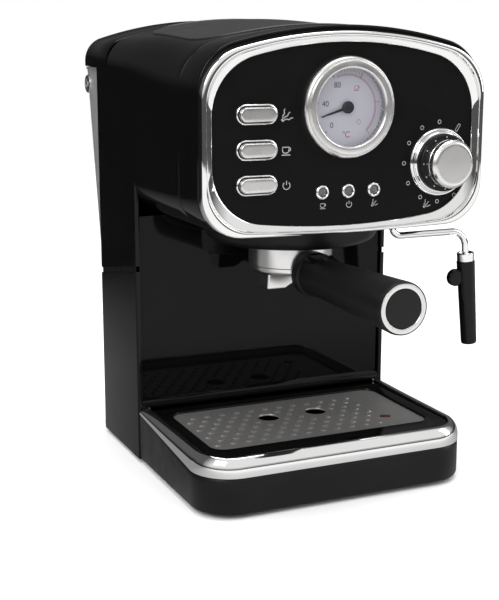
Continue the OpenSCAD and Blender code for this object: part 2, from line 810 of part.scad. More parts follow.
module tank_lid() {
    color([0.07, 0.07, 0.08]) {
        difference() {
            intersection() {
                slab_y(lid_d, body_d) head_outline();
                slab_x(-half_w, half_w) roof_side();
                box(-half_w, lid_d, lid_low, half_w, body_d, 400);
            }
            intersection() {
                slab_y(lid_d - 1, body_d - 2) head_outline(wall);
                slab_x(-half_w, half_w) roof_side(wall);
            }
        }
        difference() {
            union() {
                rod_x(lid_hinge_d, lid_hinge_z, 3.4, -28, 28);
                box(-28, lid_hinge_d + 1, 312.6, 28, lid_d + 2, 314.8);
            }
            rod_x(lid_hinge_d, lid_hinge_z, 1.55, -40, 40);
        }
    }
}

module lid_pin() {
    color([0.7, 0.7, 0.72]) rod_x(lid_hinge_d, lid_hinge_z, 1.5, -32.6, 32.6);
}

module tank_rim() {
    out = tank_half + 0.8;
    top = tank_top + 2;
    rear = body_d - 1.2;
    color([0.12, 0.12, 0.13]) difference() {
        slab_z(tank_top + 0.05, top) rounded(-out, tank_front - 0.5, out, rear, 18);
        slab_z(tank_top - 1, top + 1) rounded(-out + 5, tank_front + 4, out - 5, rear - 5, 14);
    }
}

// ---- works inside ----

module boiler() {
    color([0.66, 0.66, 0.68]) {
        rod_z(0, group_d, 36, 192.1, 200);
        rod_z(0, group_d, 33, 199, 256);
        rod_z(0, group_d, 36, 226, 232);
        rod_z(0, group_d, 14, 255, 262);
    }
}

module pump() {
    color([0.75, 0.75, 0.72]) box(-25, column_d + 14, 74, 25, column_d + 44, 128);
    color([0.5, 0.4, 0.2]) {
        rod_z(0, column_d + 29, 11, 60, 75);
        rod_z(0, column_d + 29, 9, 127, 150);
    }
}

module water_hoses() {
    color([0.85, 0.85, 0.82]) {
        rod_z(0, column_d + 29, 4, 150.1, 203);
        place(0, column_d + 19, 203) rotate([0, 0, 90]) rotate([90, 0, 0])
            rotate_extrude(angle = 90) translate([10, 0]) circle(4);
        rod_y(0, 213, 4, group_d + 33.2, column_d + 19);
    }
}

module cable_gland() {
    color([0.06, 0.06, 0.06]) difference() {
        union() {
            rod_y(62, 20, 8.8, bump_d - 6, bump_d + 0.4);
            rod_y(62, 20, 11, bump_d + 0.2, bump_d + 3);
        }
        rod_y(62, 20, 3.6, bump_d - 10, bump_d + 10);
    }
}

lower_housing();
upper_housing();
seam_band();
rear_cover();
backsplash();
group_shroud();
front_cover();
chrome_bezel();
fascia();
gauge_bezel();
gauge_glass();
gauge_dial();
gauge_needle();
gauge_can();
button_bezels();
push_button(button_z[0]);  // steam_button
push_button(button_z[1]);  // brew_button
push_button(button_z[2]);  // power_button
switch_board();
indicator_rings();
indicator_lenses();
knob_base_ring();
knob_skirt();
knob_cap();
valve_spindle();
steam_valve();
group_head();
group_gasket();
shower_screen();
shower_screw();
portafilter_ring();
filter_basket();
coffee_spout();
filter_clip();
clip_pin();
handle_grip();
handle_ring();
handle_cap();
handle_bolt();
steam_pipe();
wand_nut();
frother_sleeve();
frother_collar();
drip_tray();
tray_trim();
tray_frame();
drip_grate();
level_float();
base_plate();
rubber_feet();
base_screws();
cup_plate();
water_tank();
tank_lid();
lid_pin();
tank_rim();
boiler();
pump();
water_hoses();
cable_gland();
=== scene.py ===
from collections import namedtuple
from math import atan2, cos, degrees, hypot, radians, sin, sqrt

import bmesh
import bpy
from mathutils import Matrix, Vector


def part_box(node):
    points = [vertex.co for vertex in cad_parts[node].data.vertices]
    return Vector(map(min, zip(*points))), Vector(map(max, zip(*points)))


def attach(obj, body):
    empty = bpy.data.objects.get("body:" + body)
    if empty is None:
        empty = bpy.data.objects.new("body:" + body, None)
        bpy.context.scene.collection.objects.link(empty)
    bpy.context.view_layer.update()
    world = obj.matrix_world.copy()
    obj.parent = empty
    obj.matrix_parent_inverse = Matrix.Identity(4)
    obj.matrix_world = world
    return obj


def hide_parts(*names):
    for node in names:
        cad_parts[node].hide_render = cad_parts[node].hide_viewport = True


# Lengths are millimetres until build() makes them metres. A place is (x, d, z): x to the right of
# the body's middle, d behind the front of the drip tray and z above the table.

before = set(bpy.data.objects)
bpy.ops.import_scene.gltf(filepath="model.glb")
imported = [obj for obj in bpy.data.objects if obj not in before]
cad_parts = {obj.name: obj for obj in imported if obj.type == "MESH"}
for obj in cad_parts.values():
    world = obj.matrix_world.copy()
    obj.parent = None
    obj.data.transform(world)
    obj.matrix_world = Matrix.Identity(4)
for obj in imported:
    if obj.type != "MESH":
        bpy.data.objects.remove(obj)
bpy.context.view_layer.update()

Box = namedtuple("Box", "x0 d0 z0 x1 d1 z1")
FRONT_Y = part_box("drip_tray")[0][1]
MIDDLE_X = (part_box("front_cover")[0][0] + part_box("front_cover")[1][0]) / 2


def span(node):
    """The box of a CAD node in millimetres, in (x, d, z)."""
    (x0, y0, z0), (x1, y1, z1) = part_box(node)
    metres = (x0 - MIDDLE_X, y0 - FRONT_Y, z0, x1 - MIDDLE_X, y1 - FRONT_Y, z1)
    return Box(*(1000 * v for v in metres))


def middle(box):
    """The middle of a box as seen from the front, in (x, z)."""
    return (box.x0 + box.x1) / 2, (box.z0 + box.z1) / 2


COVER = span("front_cover")
COLUMN = span("lower_housing")
UPPER = span("upper_housing")
PANEL = span("backsplash")
FASCIA = span("fascia")
GAUGE = span("gauge_bezel")
RING = span("portafilter_ring")
GRIP = span("handle_grip")
TRAY = span("drip_tray")
TRIM = span("tray_trim")
GRATE = span("drip_grate")
FLOAT = span("level_float")
TANK = span("water_tank")
LID = span("tank_lid")
PLATE = span("cup_plate")
KNOB = span("knob_base_ring")
CAP = span("knob_cap")
SHROUD = span("group_shroud")
BASKET = span("filter_basket")

HALF_W = COVER.x1
WALL = 2.5               # thickness of the housing
FLANGE = 3.4             # width of the column's front edge beside the panel
FACE_D = FASCIA.d0
GAUGE_Z = middle(GAUGE)[1]
GROUP_D = (BASKET.d0 + BASKET.d1) / 2
GRIP_Z = middle(GRIP)[1]

CROWN_R = 300            # crown of the roof
BELLY_R = 3000           # slightly bowed underside of the head
LOW_R = 28               # lower corners of the head
SHOULDER_R = 34          # upper corners of the head, in front
SHOULDER_LOSS = 16       # how much less they measure at the rear
ROOF_RISE = 4.3          # how far the roof's rear stands above its front
RISE_D0, RISE_D1 = 50, 150


# ---- outlines ----

def polar(u, v, r, angle):
    """The point at an angle, in degrees, of a circle round (u, v)."""
    return u + r * cos(radians(angle)), v + r * sin(radians(angle))


def arc(u, v, r, a0, a1, n=12):
    """n + 1 points of a circle round (u, v), from angle a0 to a1 in degrees."""
    return [polar(u, v, r, a0 + (a1 - a0) * i / n) for i in range(n + 1)]


def circle(u, v, r, n=48):
    return arc(u, v, r, 0, 360, n)[:-1]


def eased(value, start, end):
    """0 up to start, 1 from end on, and a smooth step between them."""
    t = min(max((value - start) / (end - start), 0), 1)
    return t * t * (3 - 2 * t)


def loaf(half_w, z0, z1, r_low, r_high, r_top, r_bottom):
    """The head seen from the front, in (x, z): from the right side over the crowned top, then round
    underneath. r_low and r_high round its corners, r_top and r_bottom bow its top and underside."""
    xh, xl = half_w - r_high, half_w - r_low
    ch, cl = sqrt((r_top - r_high) ** 2 - xh ** 2), sqrt((r_bottom - r_low) ** 2 - xl ** 2)
    top, low = degrees(atan2(ch, xh)), degrees(atan2(cl, xl))
    z_high, z_low = z1 - r_top + ch, z0 + r_bottom - cl
    return (arc(xh, z_high, r_high, 0, top, 16) + arc(0, z1 - r_top, r_top, top, 180 - top, 32)[1:-1]
            + arc(-xh, z_high, r_high, 180 - top, 180, 16) + arc(-xl, z_low, r_low, 180, 180 + low, 16)
            + arc(0, z0 + r_bottom, r_bottom, 180 + low, 360 - low, 12)[1:-1]
            + arc(xl, z_low, r_low, 360 - low, 360, 16))


UPPER_COUNT = 65         # points of a loaf above its straight sides


def rise(d):
    """How far the roof at distance d stands above the front cover."""
    return ROOF_RISE * eased(d, RISE_D0, RISE_D1)


def head(inset=0.0, d=0.0):
    """The outline of the head at distance d, drawn in by inset. Its shoulders tighten towards the rear."""
    past = min(max((d - COVER.d1) / (LID.d1 - COVER.d1), 0), 1)
    return loaf(HALF_W - inset, COVER.z0 + inset, COVER.z1 + rise(d) - inset, r_low=LOW_R - inset,
                r_high=SHOULDER_R - SHOULDER_LOSS * past - inset, r_top=CROWN_R - inset, r_bottom=BELLY_R)


def bezel_outline():
    """The outer edge of the chrome bezel, just inside the head's outline."""
    return loaf(HALF_W - 0.6, COVER.z0 + 0.2, COVER.z1 - 3.6, r_low=LOW_R - 1, r_high=SHOULDER_R - 1,
                r_top=CROWN_R, r_bottom=BELLY_R)


def fascia_outline(inset=0.0):
    return loaf(HALF_W - 8.5 - inset, COVER.z0 + 5.3 + inset, COVER.z1 - 10.7 - inset, r_low=37 - inset,
                r_high=38 - inset, r_top=260, r_bottom=500)


def between(a, b, t):
    """The outline a share t of the way from a to b."""
    return [tuple(p + (q - p) * t for p, q in zip(u, v)) for u, v in zip(a, b)]


def plan(x0, d0, x1, d1, front, rear, n=10):
    """A rectangle with round corners, in (x, d), with one radius in front and one at the rear."""
    return (arc(x0 + front, d0 + front, front, 180, 270, n)
            + arc(x1 - front, d0 + front, front, 270, 360, n)
            + arc(x1 - rear, d1 - rear, rear, 0, 90, n)
            + arc(x0 + rear, d1 - rear, rear, 90, 180, n))


def pill(u, v, w, h, n=16):
    """A bar with round ends, w long and h high."""
    r, reach = h / 2, (w - h) / 2
    return arc(u + reach, v, r, -90, 90, n) + arc(u - reach, v, r, 90, 270, n)


def fillet(points, reach, n=5):
    """An open line through points, each inner corner eased over reach: one number for all, or a list."""
    if not isinstance(reach, list):
        reach = [reach] * (len(points) - 2)
    line = [tuple(points[0])]
    for a, b, c, r in zip(points, points[1:], points[2:], reach):
        a, b, c = Vector(a), Vector(b), Vector(c)
        start = b + (a - b) * min(0.49, r / max((a - b).length, 1e-6))
        end = b + (c - b) * min(0.49, r / max((c - b).length, 1e-6))
        for k in range(n + 1):
            t = k / n
            line.append(tuple(start * (1 - t) ** 2 + b * 2 * t * (1 - t) + end * t ** 2))
    return line + [tuple(points[-1])]


def proud(profile):
    """A profile for parts on the fascia. Its second numbers say how far a point stands in front of it."""
    return [(r, FACE_D - out) for r, out in profile]


def at_d(outline, d):
    return [(x, d, z) for x, z in outline]


def at_z(outline, z):
    return [(x, d, z) for x, d in outline]


def at_x(outline, x):
    return [(x, d, z) for d, z in outline]


# ---- solids, each a list of points and a list of faces ----

def loft(rings, closed=True, caps=False):
    """A skin over rings of equal length. closed joins the ends of each ring, and caps fills the first
    ring and the last."""
    n = len(rings[0])
    points = [p for ring in rings for p in ring]
    faces = []
    for k in range(len(rings) - 1):
        for i in range(n if closed else n - 1):
            j = (i + 1) % n
            faces.append((k * n + i, k * n + j, (k + 1) * n + j, (k + 1) * n + i))
    if caps:
        faces += [tuple(range(n)), tuple(range(len(points) - n, len(points)))]
    return points, faces


def spin(profile, axis, u, v, n=96):
    """A turned shape. profile holds (radius, place along the axis); (u, v) is the place of the axis."""
    rings = []
    for r, t in profile:
        ring = []
        for p, q in circle(u, v, r, n):
            ring.append({"x": (t, p, q), "d": (p, t, q), "z": (p, q, t)}[axis])
        rings.append(ring)
    return loft(rings)


def slab(outline, placed, t0, t1):
    """An outline drawn out from t0 to t1 by one of at_x, at_d and at_z."""
    return loft([placed(outline, t0), placed(outline, t1)], caps=True)


def moved(solid, change):
    """A solid with change(point) done to each of its points."""
    return [change(p) for p in solid[0]], solid[1]


def tube(path, d, r, n=20):
    """A round pipe along a path in the (x, z) plane at distance d."""
    rings = []
    for i, p in enumerate(path):
        a, b = path[max(i - 1, 0)], path[min(i + 1, len(path) - 1)]
        along = Vector((b[0] - a[0], b[1] - a[1])).normalized()
        ring = []
        for c, s in circle(0, 0, r, n):
            ring.append((p[0] - along.y * c, d + s, p[1] + along.x * c))
        rings.append(ring)
    return loft(rings, caps=True)


def ribbon(line, width, d, closed=False):
    """A printed line of that width on the plane at distance d."""
    n = len(line)
    left, right = [], []
    for i, p in enumerate(line):
        a = line[i - 1] if i or closed else p
        b = line[(i + 1) % n] if i < n - 1 or closed else p
        side = Vector((a[1] - b[1], b[0] - a[0])).normalized() * width / 2
        left.append((p[0] + side.x, d, p[1] + side.y))
        right.append((p[0] - side.x, d, p[1] - side.y))
    if closed:
        left.append(left[0])
        right.append(right[0])
    return loft([left, right], closed=False)


def curve_solid(curve, place):
    """The filled mesh of a flat curve, each point moved by place(u, v, w)."""
    holder = bpy.data.objects.new("flat", curve)
    mesh = bpy.data.meshes.new_from_object(holder)
    solid = [place(*v.co) for v in mesh.vertices], [tuple(p.vertices) for p in mesh.polygons]
    bpy.data.objects.remove(holder)
    bpy.data.meshes.remove(mesh)
    return solid


def pierced(outline, holes, thickness, place):
    """A flat sheet with holes."""
    curve = bpy.data.curves.new("sheet", "CURVE")
    curve.dimensions = "2D"
    curve.fill_mode = "BOTH"
    curve.extrude = thickness / 2
    for loop in [outline, *holes]:
        spline = curve.splines.new("POLY")
        spline.points.add(len(loop) - 1)
        spline.use_cyclic_u = True
        for point, (u, v) in zip(spline.points, loop):
            point.co = (u, v, 0, 1)
    return curve_solid(curve, place)


def lettering(text, size, x, z, d):
    """Flat characters centred on (x, z), on the plane at distance d."""
    curve = bpy.data.curves.new("text", "FONT")
    curve.body = text
    curve.size = size
    curve.align_x = "CENTER"
    curve.align_y = "CENTER"
    return curve_solid(curve, lambda u, v, w: (x + u, d, z + v))


def build(name, solids, look, body, replaces=(), bevel=0.0, sharp=34, weld=0.004):
    """Makes one piece: welds its solids, shades it smooth up to sharp degrees and rides it on its body."""
    bm = bmesh.new()
    for points, faces in solids:
        corners = [bm.verts.new((x / 1000 + MIDDLE_X, d / 1000 + FRONT_Y, z / 1000)) for x, d, z in points]
        for face in faces:
            bm.faces.new([corners[i] for i in face])
    bmesh.ops.remove_doubles(bm, verts=bm.verts, dist=weld / 1000)
    bmesh.ops.recalc_face_normals(bm, faces=bm.faces)
    mesh = bpy.data.meshes.new(name)
    bm.to_mesh(mesh)
    bm.free()
    mesh.materials.append(FINISHES[look])
    mesh.shade_smooth()
    piece = bpy.data.objects.new(name, mesh)
    bpy.context.scene.collection.objects.link(piece)
    if bevel:
        rounding = piece.modifiers.new("edges", "BEVEL")
        rounding.width = bevel / 1000
        rounding.segments = 3
        rounding.limit_method = "ANGLE"
        rounding.angle_limit = radians(40)
        rounding.harden_normals = True
    else:
        mesh.set_sharp_from_angle(angle=radians(sharp))
    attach(piece, body)
    if replaces:
        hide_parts(*replaces)
    return piece


# ---- finishes ----

def noise(nodes, links, vector, scale, detail=3.0, stretch=(1, 1, 1)):
    """A noise texture of that many features a metre, drawn out along an axis by stretch."""
    turn = nodes.new("ShaderNodeMapping")
    turn.inputs["Scale"].default_value = stretch
    links.new(vector, turn.inputs["Vector"])
    texture = nodes.new("ShaderNodeTexNoise")
    texture.inputs["Scale"].default_value = scale
    texture.inputs["Detail"].default_value = detail
    links.new(turn.outputs["Vector"], texture.inputs["Vector"])
    return texture.outputs["Fac"]


def ranged(nodes, links, value, low, high, start=0.3, end=0.7):
    """low where value is start or less, high where it is end or more, and even steps between."""
    scale = nodes.new("ShaderNodeMapRange")
    scale.inputs["From Min"].default_value = start
    scale.inputs["From Max"].default_value = end
    scale.inputs["To Min"].default_value = low
    scale.inputs["To Max"].default_value = high
    links.new(value, scale.inputs["Value"])
    return scale.outputs["Result"]


def finish(name, colour, rough, vary=0.15, blotch=30, grain=900, bump=0.02, depth=0.0001,
           stretch=(1, 1, 1), scratch=0.0, **sockets):
    """A material with blotchy colour, smudged roughness, a fine grain and hairline scratches.
    Any other Principled socket is given by name, with underscores for spaces."""
    material = bpy.data.materials.new(name)
    material.use_nodes = True
    nodes, links = material.node_tree.nodes, material.node_tree.links
    shader = nodes["Principled BSDF"]
    place = nodes.new("ShaderNodeTexCoord").outputs["Object"]

    ramp = nodes.new("ShaderNodeValToRGB")
    for stop, share in zip(ramp.color_ramp.elements, (1 - vary, 1 + vary)):
        stop.color = (*(min(1.0, c * share) for c in colour), 1)
    ramp.color_ramp.elements[0].position = 0.3
    ramp.color_ramp.elements[1].position = 0.7
    links.new(noise(nodes, links, place, blotch, 4.0), ramp.inputs["Fac"])
    links.new(ramp.outputs["Color"], shader.inputs["Base Color"])

    smudge = ranged(nodes, links, noise(nodes, links, place, blotch * 2.3, 5.0, stretch), *rough)
    if scratch:
        hairs = noise(nodes, links, place, 60, 1.0, (1, 3, 7))
        near = nodes.new("ShaderNodeMath")
        near.operation = "COMPARE"
        near.inputs[1].default_value = 0.5
        near.inputs[2].default_value = 0.004
        links.new(hairs, near.inputs[0])
        marks = nodes.new("ShaderNodeMath")
        marks.operation = "MULTIPLY_ADD"
        marks.inputs[1].default_value = scratch
        links.new(near.outputs["Value"], marks.inputs[0])
        links.new(smudge, marks.inputs[2])
        smudge = marks.outputs["Value"]
    links.new(smudge, shader.inputs["Roughness"])

    relief = nodes.new("ShaderNodeBump")
    relief.inputs["Strength"].default_value = bump
    relief.inputs["Distance"].default_value = depth
    links.new(noise(nodes, links, place, grain, 2.0, stretch), relief.inputs["Height"])
    links.new(relief.outputs["Normal"], shader.inputs["Normal"])
    for socket, value in sockets.items():
        shader.inputs[socket.replace("_", " ")].default_value = value
    return material


BRUSHED_X = (0.04, 1, 1)
FINISHES = {
    "gloss": finish("black_gloss", (0.0025, 0.0025, 0.0028), (0.03, 0.07), scratch=0.06, grain=260,
                    bump=0.02, Specular_IOR_Level=0.22),
    "satin": finish("black_satin", (0.005, 0.005, 0.0053), (0.3, 0.42), bump=0.12, grain=2500,
                    Specular_IOR_Level=0.22),
    "fascia": finish("fascia_black", (0.0035, 0.0035, 0.0035), (0.3, 0.4), bump=0.08, grain=3200, vary=0.08,
                     Specular_IOR_Level=0.1),
    "panel": finish("panel_black", (0.002, 0.002, 0.002), (0.03, 0.06), scratch=0.05, grain=260, bump=0.02,
                    Specular_IOR_Level=0.16),
    "grip": finish("handle_black", (0.007, 0.007, 0.007), (0.36, 0.46), bump=0.2, grain=3000, vary=0.1,
                   Specular_IOR_Level=0.25),
    "chrome": finish("chrome", (0.93, 0.925, 0.92), (0.02, 0.06), vary=0.02, scratch=0.06, bump=0.01,
                     grain=300, Metallic=1.0),
    "pearl": finish("satin_chrome", (0.84, 0.83, 0.82), (0.2, 0.28), vary=0.02, bump=0.012, grain=1800,
                    Metallic=1.0),
    "steel": finish("steel", (0.6, 0.59, 0.58), (0.22, 0.38), vary=0.06, bump=0.2, grain=2600,
                    stretch=BRUSHED_X, Metallic=1.0),
    "sheet": finish("grate_steel", (0.26, 0.255, 0.25), (0.3, 0.4), vary=0.06, bump=0.12, grain=2600,
                    stretch=BRUSHED_X, Metallic=0.55),
    "alloy": finish("alloy", (0.55, 0.55, 0.56), (0.35, 0.5), vary=0.1, bump=0.4, grain=1500, Metallic=1.0),
    "brass": finish("brass", (0.7, 0.5, 0.22), (0.2, 0.35), vary=0.1, bump=0.1, Metallic=1.0),
    "rubber": finish("rubber", (0.03, 0.03, 0.03), (0.6, 0.75), bump=0.3, grain=2000),
    "hose": finish("hose", (0.7, 0.7, 0.66), (0.3, 0.45), bump=0.1),
    "dial": finish("dial_white", (0.78, 0.76, 0.82), (0.4, 0.5), vary=0.02, bump=0.03),
    "print": finish("print_grey", (0.33, 0.33, 0.34), (0.45, 0.55), vary=0.1, bump=0.1),
    "ink": finish("print_dark", (0.03, 0.03, 0.035), (0.45, 0.55), vary=0.1),
    "red_ink": finish("print_red", (0.5, 0.06, 0.07), (0.45, 0.55), vary=0.1),
    "pink_ink": finish("print_pink", (0.66, 0.5, 0.56), (0.45, 0.55), vary=0.05),
    "glass": finish("gauge_glass", (0.96, 0.97, 1.0), (0.01, 0.02), vary=0.02, bump=0.0, IOR=1.3,
                    Transmission_Weight=1.0),
    "lamp": finish("lamp_lens", (0.09, 0.09, 0.09), (0.1, 0.2), vary=0.25, blotch=300, bump=0.3, grain=900),
    "tank": finish("tank_clear", (0.42, 0.41, 0.41), (0.12, 0.2), vary=0.04, bump=0.03, grain=80, IOR=1.25,
                   Transmission_Weight=0.6),
    "float": finish("float_red", (0.09, 0.006, 0.006), (0.25, 0.35)),
    "board": finish("board", (0.03, 0.14, 0.05), (0.4, 0.5)),
    "plate": finish("plate_grey", (0.022, 0.022, 0.023), (0.34, 0.44), bump=0.15, grain=2600, vary=0.08),
}


# ---- head ----

def outline_rings(outline, profile):
    """Rings of an outline function at the (inset, d) places of a profile."""
    return [at_d(outline(inset), d) for inset, d in profile]


cover_d0 = COVER.d0 + 2.2        # leaves room for the bezel's lip in front
cover_edge = fillet([(WALL, COVER.d1), (0.4, COVER.d1), (0, COVER.d1 - 0.4), (0, cover_d0),
                     (3.4, cover_d0), (3.4, cover_d0 + 1)], [0.3, 0.3, 1.2, 0.4])
build("front_cover", [loft(outline_rings(head, cover_edge))], "gloss", "housing",
      ["front_cover"])

# The share of the way from the bezel's outer edge to the fascia's, and d.
bezel_profile = fillet([(0, FACE_D + 2.6), (0, FACE_D - 2.4), (0.08, FACE_D - 4.5), (0.42, FACE_D - 4.8),
                        (0.5, FACE_D - 3.3), (0.56, FACE_D - 3.7), (1, FACE_D - 1.8), (1, FACE_D + 2)],
                       [1.2, 1.2, 0.6, 0.15, 0.1, 0.4], 6)
build("chrome_bezel", [loft([at_d(between(bezel_outline(), fascia_outline(), t), d)
                             for t, d in bezel_profile])],
      "chrome", "housing", ["chrome_bezel"])

BUTTONS = {name: span(name) for name in ("steam_button", "brew_button", "power_button")}
LAMPS = span("indicator_rings")
LAMP_Z = middle(LAMPS)[1]
LAMP_R = (LAMPS.z1 - LAMPS.z0) / 2
LAMP_X = [LAMPS.x0 + LAMP_R, middle(LAMPS)[0], LAMPS.x1 - LAMP_R]
KNOB_X, KNOB_Z = middle(KNOB)
KNOB_R = (KNOB.x1 - KNOB.x0) / 2
CAP_R = (CAP.x1 - CAP.x0) / 2
FASCIA_WALL = 2.5

can_hole = circle(0, GAUGE_Z, 28)
spindle_hole = circle(KNOB_X, KNOB_Z, 6)
holes = [can_hole, spindle_hole]
holes += [circle(x, LAMP_Z, 3) for x in LAMP_X]
holes += [pill(*middle(b), b.x1 - b.x0 - 1.7, b.z1 - b.z0 - 1.7) for b in BUTTONS.values()]
build("fascia", [pierced(fascia_outline(0.1), holes, FASCIA_WALL,
                         lambda u, v, w: (u, FACE_D + FASCIA_WALL / 2 + w, v))],
      "fascia", "housing", ["fascia"], sharp=20)

# ---- gauge ----

GAUGE_R = (GAUGE.x1 - GAUGE.x0) / 2
DIAL_R = GAUGE_R - 8.6
PRINT_D = FACE_D - 0.06          # the print on the dial

gauge_lip = fillet(proud([(GAUGE_R, 0), (GAUGE_R, 4.4), (GAUGE_R - 1.6, 6.6), (GAUGE_R - 2.9, 6.2),
                          (GAUGE_R - 3.1, 7.4), (GAUGE_R - 7.2, 7.5), (GAUGE_R - 8, 6.6),
                          (GAUGE_R - 8, 5.4), (GAUGE_R - 4.4, 5.2), (GAUGE_R - 4.4, 0)]),
                   [1.6, 1, 0.2, 0.4, 0.6, 0.6, 0.2, 0.2])
build("gauge_bezel", [spin(gauge_lip, "d", 0, GAUGE_Z, 144)], "pearl", "housing",
      ["gauge_bezel"])
pane = proud([(0, 5.5), (GAUGE_R - 5.2, 5.5), (GAUGE_R - 5.2, 4.9), (0, 4.9)])
build("gauge_glass", [spin(pane, "d", 0, GAUGE_Z)], "glass", "housing", ["gauge_glass"])
ribs = []
for d in (FACE_D - 4.8, FACE_D - 0.05):
    ring = []
    for k, (u, v) in enumerate(circle(0, 0, 1, 240)):
        r = GAUGE_R - 7.2 - (0.5 if k % 4 < 2 else 0)
        ring.append((u * r, d, GAUGE_Z + v * r))
    ribs.append(ring)
build("gauge_wall", [loft(ribs)], "steel", "housing", ["gauge_can"])
disc = proud([(0, 0), (GAUGE_R - 6.4, 0), (GAUGE_R - 6.4, -0.8), (0, -0.8)])
build("gauge_dial", [spin(disc, "d", 0, GAUGE_Z)], "dial", "housing", ["gauge_dial"])


def dial_angle(degrees_c):
    """Angle on the dial of a temperature, from 0 at the lower left to 200 at the lower right."""
    return 226 - 54.4 * degrees_c / 40


def dial_ray(degrees_c, r0, r1, width):
    """A mark of the scale, from radius r0 out to r1."""
    ends = [polar(0, GAUGE_Z, r, dial_angle(degrees_c)) for r in (r0, r1)]
    return ribbon(ends, width, PRINT_D)


dark_marks = []
for value in range(0, 121, 4):
    long_mark = value % 40 == 0
    dark_marks.append(dial_ray(value, DIAL_R - (3.4 if long_mark else 1.6), DIAL_R,
                               0.42 if long_mark else 0.2))
for value in (0, 40, 80):
    x, z = polar(0, GAUGE_Z, 0.655 * DIAL_R, dial_angle(value))
    dark_marks.append(lettering(str(value), 5, x, z, PRINT_D))
build("dial_scale", dark_marks, "ink", "housing")
red_marks = [dial_ray(v, DIAL_R - 3.6, DIAL_R - 0.4, 0.3) for v in (120, 160, 200)]
red_marks.append(lettering("C", 5.6, 0.6, GAUGE_Z - 0.73 * DIAL_R, PRINT_D))
degree_sign = circle(-2.2, GAUGE_Z - 0.66 * DIAL_R, 0.6, 20)
red_marks.append(ribbon(degree_sign, 0.3, PRINT_D, closed=True))


def cup_icon(x, z, s, d, width=0.085):
    """A cup with a handle over a saucer, s wide."""
    cup = [(x - 0.42 * s, z + 0.32 * s), (x - 0.42 * s, z - 0.02 * s), (x - 0.3 * s, z - 0.2 * s),
           (x + 0.1 * s, z - 0.2 * s), (x + 0.22 * s, z - 0.02 * s), (x + 0.22 * s, z + 0.32 * s)]
    handle = arc(x + 0.22 * s, z + 0.12 * s, 0.16 * s, -80, 80, 10)
    saucer = [(x - 0.5 * s, z - 0.38 * s), (x + 0.36 * s, z - 0.38 * s)]
    return [ribbon(fillet(cup, 0.08 * s), width * s, d, closed=True), ribbon(handle, width * s, d),
            ribbon(saucer, width * s, d)]


def power_icon(x, z, s, d, width=0.1):
    """An open ring with a bar in its gap."""
    return [ribbon(arc(x, z, 0.42 * s, 130, 410, 40), width * s, d),
            ribbon([(x, z + 0.52 * s), (x, z + 0.08 * s)], width * s, d)]


def steam_icon(x, z, s, d, width=0.08):
    """A nozzle at the lower left with three jets of steam that fan out from it."""
    lines = [ribbon([(x - 0.5 * s, z - 0.3 * s), (x - 0.3 * s, z - 0.46 * s)], 2 * width * s, d)]
    for a in (radians(12), radians(44), radians(76)):
        wave = []
        for along, across in ((0.2, 0), (0.42, 0.07), (0.62, -0.07), (0.82, 0.05), (1, 0)):
            wave.append((x + s * (along * cos(a) - across * sin(a) - 0.42),
                         z + s * (along * sin(a) + across * cos(a) - 0.42)))
        lines.append(ribbon(fillet(wave, 0.1 * s), width * s, d))
    return lines


red_marks += cup_icon(*polar(0, GAUGE_Z, 0.58 * DIAL_R, 60), 4.2, PRINT_D)
diamond = [(8.6, GAUGE_Z - 7.6), (10.4, GAUGE_Z - 9.4), (8.6, GAUGE_Z - 11.2), (6.8, GAUGE_Z - 9.4)]
red_marks.append(ribbon(diamond, 0.35, PRINT_D, closed=True))
build("dial_red_marks", red_marks, "red_ink", "housing")
build("dial_band", [ribbon(arc(0, GAUGE_Z, DIAL_R - 3.4, dial_angle(84), dial_angle(200), 60), 1.5,
                           FACE_D - 0.03)], "pink_ink", "housing")

NEEDLE_ANGLE = radians(197)
NEEDLE_D = FACE_D - 1.9


def needle_place(along, across):
    """The (x, z) of a place along the needle from its hub, and across it."""
    return (along * cos(NEEDLE_ANGLE) - across * sin(NEEDLE_ANGLE),
            GAUGE_Z + along * sin(NEEDLE_ANGLE) + across * cos(NEEDLE_ANGLE))


blade = [(0, -1), (19.6, -0.35), (20, 0), (19.6, 0.35), (0, 1)]
hub = fillet(proud([(0, 3.2), (3, 3.2), (3.9, 2.4), (3.9, 0.5), (0, 0.5)]), 0.4)
build("gauge_needle", [slab([needle_place(*p) for p in blade], at_d, NEEDLE_D, NEEDLE_D + 0.5),
                       spin(hub, "d", 0, GAUGE_Z, 48)],
      "ink", "needle", ["gauge_needle"])

# ---- buttons, lamps and their signs ----

SIGN_D = FACE_D - 0.07           # the print on the fascia
ICONS = {"steam_button": (steam_icon, 7.6), "brew_button": (cup_icon, 7), "power_button": (power_icon, 5.8)}
LAMP_ICONS = [cup_icon, power_icon, steam_icon]


def button_rings(box, profile):
    """Rings round a button. A profile holds (how much wider than the button's face, d)."""
    x, z = middle(box)
    w, h = box.x1 - box.x0 - 2.4, box.z1 - box.z0 - 2.4
    return [at_d(pill(x, z, w + wider, h + wider), d) for wider, d in profile]


signs = []
for name, box in BUTTONS.items():
    rim = proud([(3.9, 0), (3.9, 1.6), (3.2, 2.6), (2.2, 3), (1.3, 2.6), (0.7, 1.6), (0.7, 0)])
    build(name + "_rim", [loft(button_rings(box, fillet(rim, 0.3, 3)))], "chrome", "housing",
          ["button_bezels"])
    cap = proud([(0, -3), (0, 4.2), (-0.5, 5.2), (-1.5, 5.6), (-5, 5.6)])
    build(name, [loft(button_rings(box, fillet(cap, 0.5, 4)), caps=True)], "pearl", name,
          [name])
    icon, size = ICONS[name]
    x, z = middle(box)
    signs += icon(x + 21.3, z - 1.3, size, SIGN_D)

